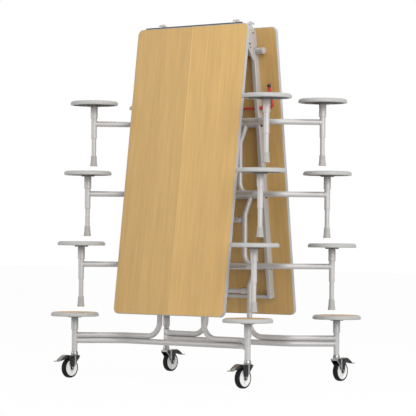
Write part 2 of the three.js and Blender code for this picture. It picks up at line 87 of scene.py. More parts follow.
@dataclass(frozen=True)
class Layout:
    """Driving sizes of the folded table, in millimetres, as in the part's source."""

    rows: int = 4
    pitch: float = 457.0
    lean: float = math.radians(7.0)
    top_length: float = 1838.0
    top_width: float = 900.0
    top_thickness: float = 22.0
    top_corner: float = 38.0
    top_bottom_edge_z: float = 416.0
    centre_gap: float = 12.0
    base_crossbar_y: float = 232.0
    stool_x: float = 705.0
    stool_y: float = 224.0
    cross_tube_z: float = 563.0
    pivot_y: float = 60.0
    pivot_z: float = 713.0
    pivot_depth: float = 45.0
    castor_height: float = 168.0
    post_radius: float = 18.5

    @property
    def top_edge_z(self) -> float:
        """Height of the hinge edge of a tabletop half."""
        return self.top_bottom_edge_z + self.top_length * math.cos(self.lean)

    @property
    def base_pivot_down(self) -> float:
        """Distance along the top from its hinge edge to the pivot of the base row."""
        drop = self.top_edge_z - self.pivot_depth * math.sin(self.lean) - self.pivot_z
        return drop / math.cos(self.lean)

    @property
    def top_edge_y(self) -> float:
        """Distance of the hinge edge's outer face from the middle plane."""
        reach = self.pivot_depth * math.cos(self.lean) - self.base_pivot_down * math.sin(self.lean)
        return self.base_crossbar_y + self.pivot_y + reach

    @property
    def hinge_axis(self) -> tuple[float, float]:
        """Place of the centre hinge's axis in the frame of a top, as y and z."""
        inwards = self.top_edge_y - self.centre_gap / 2 * math.sin(self.lean)
        return -inwards / math.cos(self.lean), self.centre_gap / 2

    def pivot_down(self, row: int) -> float:
        """Distance along the top from its hinge edge to the pivot of a row."""
        return self.base_pivot_down - self.pitch * (self.rows - row)

    def half_frame(self, half: Half) -> Matrix:
        """Frame of a half, in which +Y points outwards."""
        return Matrix.Rotation(math.pi if half is Half.FRONT else 0.0, 4, "Z")

    def top_frame(self, half: Half) -> Matrix:
        """Frame of a leaning top: y = 0 on its outer face and z = 0 on its hinge edge."""
        place = Matrix.Translation(Vector((0.0, self.top_edge_y, self.top_edge_z)) * MM)
        return self.half_frame(half) @ place @ Matrix.Rotation(self.lean, 4, "X")

    def link_frame(self, half: Half) -> Matrix:
        """Frame of a leaning levelling link, with its origin on the base row's cross tube."""
        place = Matrix.Translation(Vector((0, self.base_crossbar_y, self.cross_tube_z)) * MM)
        return self.half_frame(half) @ place @ Matrix.Rotation(self.lean, 4, "X")

    def carrier_frame(self, half: Half, row: int) -> Matrix:
        """Frame of a stool carrier.

        Args:
            half: the carrier's half of the table.
            row: its row, counted from the hinge.

        Returns:
            A frame with y = 0 on the carrier's crossbar and z = 0 at its feet.
        """
        up = self.pitch * (self.rows - row)
        y = self.base_crossbar_y - up * math.sin(self.lean)
        place = Vector((0.0, y, up * math.cos(self.lean))) * MM
        return self.half_frame(half) @ Matrix.Translation(place)

    def post_frame(self, half: Half, row: int, side: Side) -> Matrix:
        """Frame of one post of a carrier.

        Args:
            half: the carrier's half of the table.
            row: its row, counted from the hinge.
            side: the side of the table that the post is on.

        Returns:
            The carrier's frame, moved to the axis of the post.
        """
        x = side.value * half.value * self.stool_x
        place = Matrix.Translation(Vector((x, self.stool_y, 0)) * MM)
        return self.carrier_frame(half, row) @ place

    def carrier_body(self, half: Half, row: int) -> str:
        """Name of the body that a row's carrier belongs to."""
        return f"{half.label}_base" if row == self.rows else f"{half.label}_row_{row}"


LAYOUT = Layout()


class Value:
    """A number socket, on which Python's operators add Math nodes."""

    def __init__(self, graph: "Graph", socket: bpy.types.NodeSocket) -> None:
        """Wraps one output socket of a graph."""
        self.graph = graph
        self.socket = socket

    def _math(self, operation: str, *terms: Any) -> "Value":
        """Adds one Math node over the given terms."""
        inputs = dict(enumerate(terms))
        return self.graph.node("ShaderNodeMath", {"operation": operation}, inputs)

    def __add__(self, other: Any) -> "Value":
        """self + other."""
        return self._math("ADD", self, other)

    def __radd__(self, other: Number) -> "Value":
        """other + self."""
        return self._math("ADD", other, self)

    def __sub__(self, other: Any) -> "Value":
        """self - other."""
        return self._math("SUBTRACT", self, other)

    def __rsub__(self, other: Number) -> "Value":
        """other - self."""
        return self._math("SUBTRACT", other, self)

    def __mul__(self, other: Any) -> "Value":
        """self * other."""
        return self._math("MULTIPLY", self, other)

    def __rmul__(self, other: Number) -> "Value":
        """other * self."""
        return self._math("MULTIPLY", other, self)

    def __truediv__(self, other: Any) -> "Value":
        """self / other."""
        return self._math("DIVIDE", self, other)

    def __rtruediv__(self, other: Number) -> "Value":
        """other / self."""
        return self._math("DIVIDE", other, self)

    def __gt__(self, other: Any) -> "Value":
        """1 where self is over other, else 0."""
        return self._math("GREATER_THAN", self, other)

    def __abs__(self) -> "Value":
        """Size of self without its sign."""
        return self._math("ABSOLUTE", self)

    def clamped(self) -> "Value":
        """self kept between 0 and 1."""
        settings = {"operation": "ADD", "use_clamp": True}
        return self.graph.node("ShaderNodeMath", settings, {0: self, 1: 0.0})

    def swing(self, amount: float) -> "Value":
        """self, which runs from 0 to 1, made to run to both sides of 0."""
        return (self - 0.5) * amount


@dataclass(frozen=True)
class Noise:
    """One layer of noise: its scale to the metre, its octaves and how strong the fine ones are."""

    scale: float
    detail: float
    roughness: float


class Graph:
    """The node tree of one material or of the world."""

    def __init__(self, tree: bpy.types.NodeTree) -> None:
        """Empties a tree, ready for new nodes."""
        self.tree = tree
        tree.nodes.clear()

    def node(
        self,
        kind: str,
        settings: dict[str, Any],
        inputs: dict[Any, Any],
        output: Union[int, str] = 0,
    ) -> Value:
        """Adds one node.

        Args:
            kind: the node's type.
            settings: properties that are set first, such as a Math node's operation.
            inputs: a value or a link for each socket that isn't left as it is.
            output: the socket that is returned.

        Returns:
            The chosen output, wrapped.
        """
        made = self.tree.nodes.new(kind)
        for name, setting in settings.items():
            setattr(made, name, setting)
        for name, given in inputs.items():
            if isinstance(given, Value):
                self.tree.links.new(given.socket, made.inputs[name])
            else:
                made.inputs[name].default_value = given
        return Value(self, made.outputs[output] if made.outputs else None)

    def place(self) -> Value:
        """Position on the piece, in its own metres."""
        return self.node("ShaderNodeTexCoord", {}, {}, "Object")

    def stretched(self, vector: Value, scale: Point) -> Value:
        """A position with each axis multiplied by its own scale."""
        settings = {"operation": "MULTIPLY"}
        return self.node("ShaderNodeVectorMath", settings, {0: vector, 1: tuple(scale)})

    def axis(self, vector: Value, axis: Axis) -> Value:
        """One axis of a position."""
        return self.node("ShaderNodeSeparateXYZ", {}, {0: vector}, axis.name)

    def noise(self, vector: Value, layer: Noise) -> Value:
        """Smooth noise between 0 and 1.

        Args:
            vector: the position that it is read at.
            layer: the noise's scale and octaves.

        Returns:
            The noise.
        """
        inputs = {"Vector": vector, "Scale": layer.scale}
        inputs |= {"Detail": layer.detail, "Roughness": layer.roughness}
        return self.node("ShaderNodeTexNoise", {}, inputs, "Fac")

    def patches(self, vector: Value, layer: Noise, over: float, gain: float) -> Value:
        """1 where noise is well over a level and 0 where it is under, with soft edges."""
        return ((self.noise(vector, layer) - over) * gain).clamped()

    def mixed(self, factor: Value, low: Any, high: Any) -> Value:
        """A colour between two others.

        Args:
            factor: 0 for the first colour and 1 for the second.
            low: the first colour, or a link to it.
            high: the second colour, or a link to it.

        Returns:
            The mixed colour.
        """
        inputs = {0: factor}
        for index, given in ((6, low), (7, high)):
            inputs[index] = given if isinstance(given, Value) else (*given, 1.0)
        return self.node("ShaderNodeMix", {"data_type": "RGBA"}, inputs, 2)

    def bump(self, height: Value, strength: float, distance: float) -> Value:
        """A normal that follows a height in metres times distance."""
        inputs = {"Height": height, "Strength": strength, "Distance": distance}
        return self.node("ShaderNodeBump", {}, inputs)

    def surface(self, **sockets: Any) -> None:
        """Ends a material in one Principled shader.

        Args:
            sockets: its values and links; underscores in their names stand for spaces.
        """
        inputs = {name.replace("_", " "): given for name, given in sockets.items()}
        shader = self.node("ShaderNodeBsdfPrincipled", {}, inputs)
        self.node("ShaderNodeOutputMaterial", {}, {"Surface": shader})


def srgb(red: int, green: int, blue: int) -> Colour:
    """Linear colour of an 8-bit display colour.

    Args:
        red: level of red.
        green: level of green.
        blue: level of blue.

    Returns:
        The linear colour.
    """
    def linear(level: int) -> float:
        """Linear value of one 8-bit level."""
        part = level / 255.0
        return part / 12.92 if part <= 0.04045 else ((part + 0.055) / 1.055) ** 2.4
    return linear(red), linear(green), linear(blue)


def scaled(colour: Colour, by: float) -> Colour:
    """A colour made darker or lighter."""
    return tuple(min(1.0, level * by) for level in colour)


@dataclass(frozen=True)
class Finish:
    """What all finishes share: a name, a colour, a roughness and a slot of the record."""

    name: str
    colour: Colour
    roughness: float
    slot: str

    def material(self) -> bpy.types.Material:
        """Gives the finish's one material, made on first use.

        Returns:
            The material.
        """
        found = bpy.data.materials.get(self.name)
        if found:
            return found
        made = bpy.data.materials.new(self.name)
        made.use_nodes = True
        self.shade(Graph(made.node_tree))
        return made

    def toned(self, graph: Graph, factor: Value, dark: float, light: float) -> Value:
        """The finish's colour, between a darker and a lighter tone of it."""
        return graph.mixed(factor, scaled(self.colour, dark), scaled(self.colour, light))

    def shade(self, graph: Graph) -> None:
        """Fills the material's graph."""
        raise NotImplementedError


@dataclass(frozen=True)
class SeamLine:
    """A fine line beside the joint of two laminate sheets, in metres across the board."""

    at: float
    half_width: float
    strength: float

    def tone(self, x: Value) -> Value:
        """How much the line changes the tone at a place across the board."""
        return (1.0 - abs(x - self.at) / self.half_width).clamped() * self.strength


@dataclass(frozen=True)
class Laminate(Finish):
    """Wood-grain plastic laminate."""

    grain_axis: Axis = Axis.Z
    grain_contrast: float = 0.24
    grain_stretch: float = 0.05
    seam: bool = False
    sheet_step: float = 0.14
    dark_line: SeamLine = SeamLine(0.001, 0.003, 0.4)
    # The pale line beside the joint is a painted highlight; the dark line is the joint itself.
    joint_highlight: SeamLine = SeamLine(-0.006, 0.004, 0.3)
    figure: Noise = Noise(9.0, 3.0, 0.5)
    streaks: Noise = Noise(58.0, 3.0, 0.55)
    pores: Noise = Noise(330.0, 3.0, 0.6)
    scuffs: Noise = Noise(3.5, 5.0, 0.7)

    def shade(self, graph: Graph) -> None:
        """Broad figure, narrow streaks and fine pores, and the joint of two sheets with a painted
        highlight beside it.

        Args:
            graph: the material's graph.
        """
        place = graph.place()
        along = [1.0, 1.0, 1.0]
        along[self.grain_axis.value] = self.grain_stretch
        grain = graph.stretched(place, along)
        pore = graph.noise(grain, self.pores)
        tone = graph.noise(grain, self.figure) * 0.55 + graph.noise(grain, self.streaks) * 0.8
        tone = tone + pore * 0.35 - 0.35
        if self.seam:
            x = graph.axis(place, Axis.X)
            tone = tone - (x > 0.0) * self.sheet_step
            # Darken along the joint and add the painted highlight beside it.
            tone = tone - self.dark_line.tone(x) + self.joint_highlight.tone(x)
        dark, light = 1.0 - self.grain_contrast, 1.0 + self.grain_contrast
        scuff = graph.noise(place, self.scuffs)
        graph.surface(
            Base_Color=self.toned(graph, tone.clamped(), dark, light),
            Roughness=(self.roughness + scuff.swing(0.16)).clamped(),
            Normal=graph.bump(pore, 0.12, 0.0004),
            Specular_IOR_Level=0.4,
        )


@dataclass(frozen=True)
class PowderCoat(Finish):
    """Satin powder coat on steel tube."""

    orange_peel: Noise = Noise(420.0, 2.0, 0.5)
    drift: Noise = Noise(4.0, 3.0, 0.5)
    rubbing: Noise = Noise(26.0, 5.0, 0.7)

    def shade(self, graph: Graph) -> None:
        """Orange peel, a slow drift of tone and rubbed patches.

        Args:
            graph: the material's graph.
        """
        place = graph.place()
        peel = graph.noise(place, self.orange_peel)
        rubbed = graph.patches(place, self.rubbing, over=0.62, gain=4.0)
        base = self.toned(graph, graph.noise(place, self.drift), 0.9, 1.08)
        graph.surface(
            Base_Color=graph.mixed(rubbed * 0.25, base, scaled(self.colour, 0.72)),
            Roughness=(self.roughness + peel.swing(0.12) + rubbed * 0.1).clamped(),
            Metallic=0.15,
            Normal=graph.bump(peel, 0.1, 0.0003),
            Coat_Weight=0.12,
            Coat_Roughness=0.3,
        )


@dataclass(frozen=True)
class Moulding(Finish):
    """Moulded plastic or rubber with a fine cast texture and scuffs."""

    texture: float = 900.0
    scuffing: float = 0.2
    relief: float = 0.15
    sheen: float = 0.5
    clouds: Noise = Noise(9.0, 4.0, 0.6)
    scuffs: Noise = Noise(38.0, 6.0, 0.75)
    scuff_stretch: Point = (1.0, 1.0, 4.0)

    def shade(self, graph: Graph) -> None:
        """Cast texture in the relief, and paler scuffs in the colour.

        Args:
            graph: the material's graph.
        """
        place = graph.place()
        cast = graph.noise(place, Noise(self.texture, 2.0, 0.5))
        cloud = graph.noise(place, self.clouds)
        rubbed = graph.stretched(place, self.scuff_stretch)
        scuffed = graph.patches(rubbed, self.scuffs, over=0.6, gain=5.0)
        base = self.toned(graph, cloud, 0.88, 1.1)
        graph.surface(
            Base_Color=graph.mixed(scuffed * self.scuffing, base, scaled(self.colour, 1.5)),
            Roughness=(self.roughness + cloud.swing(0.2)).clamped(),
            Normal=graph.bump(cast, self.relief, 0.0003),
            Specular_IOR_Level=self.sheen,
        )


@dataclass(frozen=True)
class PlatedSteel(Finish):
    """Bright zinc-plated or polished steel."""

    draw_marks: Noise = Noise(1.0, 3.0, 0.6)
    draw_stretch: Point = (40.0, 40.0, 900.0)
    greying: Noise = Noise(45.0, 5.0, 0.7)

    def shade(self, graph: Graph) -> None:
        """Fine draw marks, and dull spots where the plating has greyed.

        Args:
            graph: the material's graph.
        """
        place = graph.place()
        drawn = graph.noise(graph.stretched(place, self.draw_stretch), self.draw_marks)
        dull = graph.patches(place, self.greying, over=0.55, gain=4.0)
        graph.surface(
            Base_Color=graph.mixed(dull, self.colour, scaled(self.colour, 0.78)),
            Roughness=(self.roughness + drawn * 0.08 + dull * 0.18).clamped(),
            Metallic=1.0,
            Normal=graph.bump(drawn, 0.08, 0.0002),
        )


@dataclass(frozen=True)
class Enamel(Finish):
    """Glossy enamel or polished plastic."""

    flow_marks: Noise = Noise(60.0, 3.0, 0.5)
    handling: Noise = Noise(130.0, 5.0, 0.7)

    def shade(self, graph: Graph) -> None:
        """Slight flow marks, with handling marks in the gloss.

        Args:
            graph: the material's graph.
        """
        place = graph.place()
        flow = graph.noise(place, self.flow_marks)
        handled = graph.noise(place, self.handling)
        graph.surface(
            Base_Color=self.toned(graph, flow, 0.85, 1.12),
            Roughness=(self.roughness + handled.swing(0.25)).clamped(),
            Normal=graph.bump(flow, 0.05, 0.0004),
            Coat_Weight=0.3,
            Coat_Roughness=0.15,
        )


WOOD = Laminate("wood_laminate", srgb(202, 165, 104), 0.58, "laminate", seam=True)
SEAT_WOOD = Laminate("seat_laminate", srgb(202, 160, 106), 0.6, "laminate", Axis.Y)
PAINT = PowderCoat("grey_powder_coat", srgb(184, 182, 181), 0.38, "frame")
STEEL = PlatedSteel("zinc_plate", srgb(206, 207, 209), 0.22, "steel")
CASTOR_STEEL = PlatedSteel("castor_plate", srgb(150, 149, 147), 0.3, "steel")
# The fork legs' dark grey is painted shade on the same plated steel as the castor's crown.
SHADED_FORK_STEEL = PlatedSteel("fork_pressing", srgb(54, 54, 55), 0.36, "steel")
DARK_STEEL = PlatedSteel("blackened_bolt", srgb(74, 74, 76), 0.42, "steel")
PEDAL_STEEL = PlatedSteel("pedal_plate", srgb(138, 135, 130), 0.26, "pedal")
RED = Enamel("red_enamel", srgb(190, 44, 50), 0.34, "lock")
BLACK = Enamel("black_knob_plastic", srgb(20, 20, 21), 0.26, "knob")
# A moulding's last numbers are its texture's scale, its scuffing, its relief and its sheen.
EDGE = Moulding("edge_moulding", srgb(172, 174, 176), 0.5, "edge")
SEAT_PLASTIC = Moulding("seat_moulding", srgb(172, 172, 170), 0.5, "seat", 700.0, 0.12, 0.2)
# The seat underside's dark grey is painted shade under the seat's grey plastic rim.
SEAT_SHADE = Moulding("seat_underside", srgb(96, 94, 92), 0.65, "seat", 500.0, 0.1, 0.25)
FERRULE = Moulding("ferrule_rubber", srgb(172, 172, 170), 0.7, "ferrule", 600.0, 0.25, 0.25)
STRIP = Moulding("bumper_rubber", srgb(58, 60, 66), 0.7, "strip", 500.0, 0.15, 0.3)
TYRE = Moulding("tyre_rubber", srgb(15, 15, 16), 0.7, "tyre", 420.0, 0.25, 0.4, 0.2)
HUB = Moulding("wheel_hub_plastic", srgb(228, 228, 227), 0.42, "tyre", 900.0, 0.08, 0.1)
GUARD = Moulding("thread_guard_plastic", srgb(42, 42, 44), 0.55, "pedal", 700.0, 0.2, 0.2, 0.25)
PLUG = Moulding("end_plug_plastic", srgb(52, 52, 54), 0.6, "frame", 700.0, 0.15, 0.2)


def placed(name: str, data: bpy.types.ID) -> bpy.types.Object:
    """Adds an object to the scene.

    Args:
        name: the object's name.
        data: its mesh, lamp or camera.

    Returns:
        The object.
    """
    made = bpy.data.objects.new(name, data)
    bpy.context.scene.collection.objects.link(made)
    return made


def span(a: float, b: float) -> tuple[float, float]:
    """Two limits in rising order."""
    return min(a, b), max(a, b)


def arc(centre: Point, radius: float, start: float, end: float, steps: int) -> Outline:
    """Points of an arc.

    Args:
        centre: its centre.
        radius: its radius.
        start: its first angle, in degrees.
        end: its last angle, in degrees.
        steps: how many parts it is cut into.

    Returns:
        The points, one more than the steps.
    """
    points = []
    for i in range(steps + 1):
        angle = math.radians(start + (end - start) * i / steps)
        x = centre[0] + radius * math.cos(angle)
        points.append((x, centre[1] + radius * math.sin(angle)))
    return points


def rounded_outline(x: Point, z: Point, radius: float, steps: int = 8) -> Outline:
    """Outline of a rectangle with round corners.

    Args:
        x: its limits along the first axis.
        z: its limits along the second axis.
        radius: radius of its corners.
        steps: how many parts each corner is cut into.

    Returns:
        The outline's points.
    """
    points = arc((x[1] - radius, z[1] - radius), radius, 0, 90, steps)
    points += arc((x[0] + radius, z[1] - radius), radius, 90, 180, steps)
    points += arc((x[0] + radius, z[0] + radius), radius, 180, 270, steps)
    return points + arc((x[1] - radius, z[0] + radius), radius, 270, 360, steps)


def mirrored_loop(section: Outline) -> Outline:
    """A turned section joined to its mirror image, as a closed loop."""
    return [*section, *[(radius, -height) for radius, height in reversed(section)], section[0]]


class Shape:
    """A mesh under construction, with sizes given in millimetres."""

    BEVEL_ANGLE = math.radians(28.0)
    SHARP_ANGLE = math.radians(38.0)
    MERGE_METRES = 1e-6

    def __init__(self) -> None:
        """Starts an empty mesh."""
        self.mesh = bmesh.new()

    def skin(
        self, rings: Sequence[Sequence[Vector]], closed: bool, capped: bool
    ) -> list[bmesh.types.BMFace]:
        """Skins a row of rings, each joined round itself.

        Args:
            rings: rings of points, all of one length.
            closed: whether the last ring joins the first.
            capped: whether the two end rings get a face.

        Returns:
            The new faces.
        """
        made = [[self.mesh.verts.new(point * MM) for point in ring] for ring in rings]
        faces = []
        count = len(made[0])
        spans = len(made) if closed else len(made) - 1
        for i in range(spans):
            low, high = made[i], made[(i + 1) % len(made)]
            for j in range(count):
                k = (j + 1) % count
                faces.append(self.mesh.faces.new((low[j], low[k], high[k], high[j])))
        if capped:
            faces.append(self.mesh.faces.new(list(reversed(made[0]))))
            faces.append(self.mesh.faces.new(made[-1]))
        return faces

    def tube(
        self,
        corners: Sequence[Point],
        bends: Sequence[float],
        radius: float,
        sides: int = 24,
        steps: int = 9,
    ) -> "Shape":
        """Adds a round tube along straight runs joined by arcs.

        Args:
            corners: the ends of the path and the corners between them.
            bends: bend radius at each inner corner.
            radius: radius of the tube.
            sides: faces round the tube.
            steps: rings along each bend.

        Returns:
            This shape.
        """
        stations = self._stations([Vector(corner) for corner in corners], bends, steps)
        along = stations[0][1]
        start = Vector((0, 0, 1)) if abs(along.z) < 0.9 else Vector((1, 0, 0))
        across = (start - along * start.dot(along)).normalized()
        rings = []
        for at, along in stations:
            across = (across - along * across.dot(along)).normalized()
            other = along.cross(across)
            ring = []
            for i in range(sides):
                angle = 2 * math.pi * i / sides
                ring.append(at + radius * (math.cos(angle) * across + math.sin(angle) * other))
            rings.append(ring)
        self.skin(rings, closed=False, capped=True)
        return self

    def bar(self, reach: float, at: Point, radius: float, sides: int = 24) -> "Shape":
        """Adds a straight bar along X, reaching as far to both sides, at a given y and z."""
        return self.tube([(-reach, *at), (reach, *at)], [], radius, sides)

    @staticmethod
    def _stations(
        points: Sequence[Vector], bends: Sequence[float], steps: int
    ) -> list[tuple[Vector, Vector]]:
        """Follows a path of straight runs and arcs.

        Args:
            points: the ends of the path and the corners between them.
            bends: bend radius at each inner corner.
            steps: how many parts each arc is cut into.

        Returns:
            Places along the path, each with the path's direction there.
        """
        ways = [(b - a).normalized() for a, b in zip(points, points[1:])]
        stations = [(points[0], ways[0])]
        for corner, before, after, radius in zip(points[1:], ways, ways[1:], bends):
            turn = before.angle(after)
            start = corner - before * radius * math.tan(turn / 2)
            inward = (after - before * before.dot(after)).normalized()
            for i in range(steps + 1):
                angle = turn * i / steps
                at = start + radius * (before * math.sin(angle) + inward * (1 - math.cos(angle)))
                stations.append((at, before * math.cos(angle) + inward * math.sin(angle)))
        stations.append((points[-1], ways[-1]))
        return stations

    def revolve(
        self, profile: Outline, centre: Point = ORIGIN, axis: Axis = Axis.Z, sides: int = 36
    ) -> "Shape":
        """Adds a turned body.

        Args:
            profile: pairs of radius and height; a first or last radius of 0 closes that end.
            centre: where the profile's height 0 lies on the axis.
            axis: the axis that it turns about, Z or X.
            sides: faces round the axis.

        Returns:
            This shape.
        """
        rings = []
        for radius, height in profile:
            ring = []
            for i in range(sides):
                angle = 2 * math.pi * i / sides
                flat = (radius * math.cos(angle), radius * math.sin(angle), height)
                turned = flat if axis is Axis.Z else (height, flat[0], flat[1])
                ring.append(Vector(centre) + Vector(turned))
            rings.append(ring)
        looped = profile[0] == profile[-1]
        faces = self.skin(rings[:-1] if looped else rings, closed=looped, capped=not looped)
        corners = dict.fromkeys(vert for face in faces for vert in face.verts)
        bmesh.ops.remove_doubles(self.mesh, verts=list(corners), dist=self.MERGE_METRES)
        return self

    def collar(
        self, centre: Point, bore: float, radius: float, ends: Point, sides: int
    ) -> "Shape":
        """Adds a collar with softened outer edges round a bar along X.

        Args:
            centre: a point on the bar's axis.
            bore: radius of its bore.
            radius: its outer radius.
            ends: its two end faces, along X from the centre.
            sides: faces round the bar.

        Returns:
            This shape.
        """
        low, high = ends
        ring = [(bore, low), (radius - 1.0, low), (radius, low + 1.5)]
        ring += [(radius, high - 1.5), (radius - 1.0, high), (bore, high)]
        return self.revolve([*ring, ring[0]], centre, Axis.X, sides)

    def plate(self, outline: Outline, ends: Point, across: Axis, bevel: float) -> "Shape":
        """Adds a flat plate with softened edges.

        Args:
            outline: its outline, as (y, z) across X, (x, z) across Y or (x, y) across Z.
            ends: its two faces along that axis.
            across: the axis that it is flat across.
            bevel: width of the softened edge.

        Returns:
            This shape.
        """
        rings = []
        for end in ends:
            ring = []
            for a, b in outline:
                flat = [a, b]
                flat.insert(across.value, end)
                ring.append(Vector(flat))
            rings.append(ring)
        self.soften(self.skin(rings, closed=False, capped=True), bevel)
        return self

    def box(self, x: Point, y: Point, z: Point, bevel: float) -> "Shape":
        """Adds a block between pairs of limits, with softened edges."""
        corners = [(x[0], y[0]), (x[1], y[0]), (x[1], y[1]), (x[0], y[1])]
        return self.plate(corners, (z[0], z[1]), Axis.Z, bevel)

    def soften(self, faces: Iterable[bmesh.types.BMFace], width: float) -> None:
        """Bevels the sharp edges of some faces.

        Args:
            faces: the faces.
            width: width of the bevel; 0 leaves the edges sharp.
        """
        bmesh.ops.recalc_face_normals(self.mesh, faces=list(self.mesh.faces))
        if width > 0:
            edges = dict.fromkeys(edge for face in faces for edge in face.edges)
            sharp = [edge for edge in edges if edge.calc_face_angle(0.0) > self.BEVEL_ANGLE]
            options = {"offset": width * MM, "segments": 2, "profile": 0.6, "affect": "EDGES"}
            bmesh.ops.bevel(self.mesh, geom=sharp, clamp_overlap=True, **options)

    def bolt(self, at: Point, axis: Axis, facing: int, radius: float = 8.0) -> "Shape":
        """Adds a hexagon bolt head on its washer.

        Args:
            at: the middle of the washer's inner face.
            axis: the axis that the bolt lies along.
            facing: the way that its head faces along that axis, 1 or -1.
            radius: radius of the head, to its corners.

        Returns:
            This shape.
        """
        rim = radius * 1.35
        washer = [(0, 0), (rim, 0), (rim, 1.4 * facing), (0, 1.5 * facing)]
        head = [(0, facing), (radius, facing), (radius, 5.4 * facing)]
        head += [(radius * 0.8, 6.4 * facing), (0, 6.4 * facing)]
        self.revolve(washer, at, axis, 20)
        return self.revolve(head, at, axis, 6)

    def absorb(self, other: "Shape", matrix: Matrix) -> "Shape":
        """Takes in another shape, and frees it.

        Args:
            other: the other shape.
            matrix: how it is turned and moved first.

        Returns:
            This shape.
        """
        other.mesh.transform(matrix)
        data = bpy.data.meshes.new("taken_in")
        other.mesh.to_mesh(data)
        other.mesh.free()
        self.mesh.from_mesh(data)
        bpy.data.meshes.remove(data)
        return self

    def piece(
        self, name: str, place: Matrix, finish: Finish, body: str, replaces: Sequence[str] = ()
    ) -> bpy.types.Object:
        """Ends the shape as one piece of the object.

        Args:
            name: the piece's name.
            place: its frame.
            finish: its finish.
            body: the body that it moves with.
            replaces: nodes of the frame that it stands for.

        Returns:
            The piece.
        """
        bmesh.ops.recalc_face_normals(self.mesh, faces=list(self.mesh.faces))
        data = bpy.data.meshes.new(name)
        self.mesh.to_mesh(data)
        self.mesh.free()
        data.shade_smooth()
        data.set_sharp_from_angle(angle=self.SHARP_ANGLE)
        data.materials.append(finish.material())
        made = placed(name, data)
        made.matrix_world = place
        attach(made, body)
        if replaces:
            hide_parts(*replaces)
        LOG.info("%s: %d faces on %s", name, len(data.polygons), body)
        return made


@dataclass
class Tabletop:
    """One leaning half of the top: the laminate board in its edge moulding."""

    half: Half
    band: float = 3.0
    board_inset: float = 3.2
    board_relief: float = 0.2
    edge_softness: float = 0.8

    def _outline(self, inset: float) -> Outline:
        """Outline of the top, moved in.

        Args:
            inset: how far it is moved in.

        Returns:
            The outline, in x and z of the top's frame.
        """
        half_width = LAYOUT.top_width / 2 - inset
        limits = (-LAYOUT.top_length + inset, -inset)
        return rounded_outline((-half_width, half_width), limits, LAYOUT.top_corner - inset)

    def build(self) -> None:
        """Makes the board and its edge moulding."""
        label = self.half.label
        place = LAYOUT.top_frame(self.half)
        body = f"{label}_top"
        depth = LAYOUT.top_thickness
        faces = (-depth + self.board_relief, -self.board_relief)
        board = Shape().plate(self._outline(self.board_inset), faces, Axis.Y, self.edge_softness)
        board.piece(f"{label}_board", place, WOOD, body, [f"{label}_tabletop"])
        crown = [(self.band, 0.0), (1.4, -0.1), (0.4, -0.9), (0.0, -2.4), (0.0, -depth + 2.4)]
        crown += [(0.4, -depth + 0.9), (1.4, -depth + 0.1), (self.band, -depth)]
        loops = [[Vector((x, y, z)) for x, z in self._outline(inset)] for inset, y in crown]
        moulding = Shape()
        moulding.skin(loops, closed=True, capped=False)
        moulding.piece(f"{label}_edge_moulding", place, EDGE, body, [f"{label}_edge_band"])


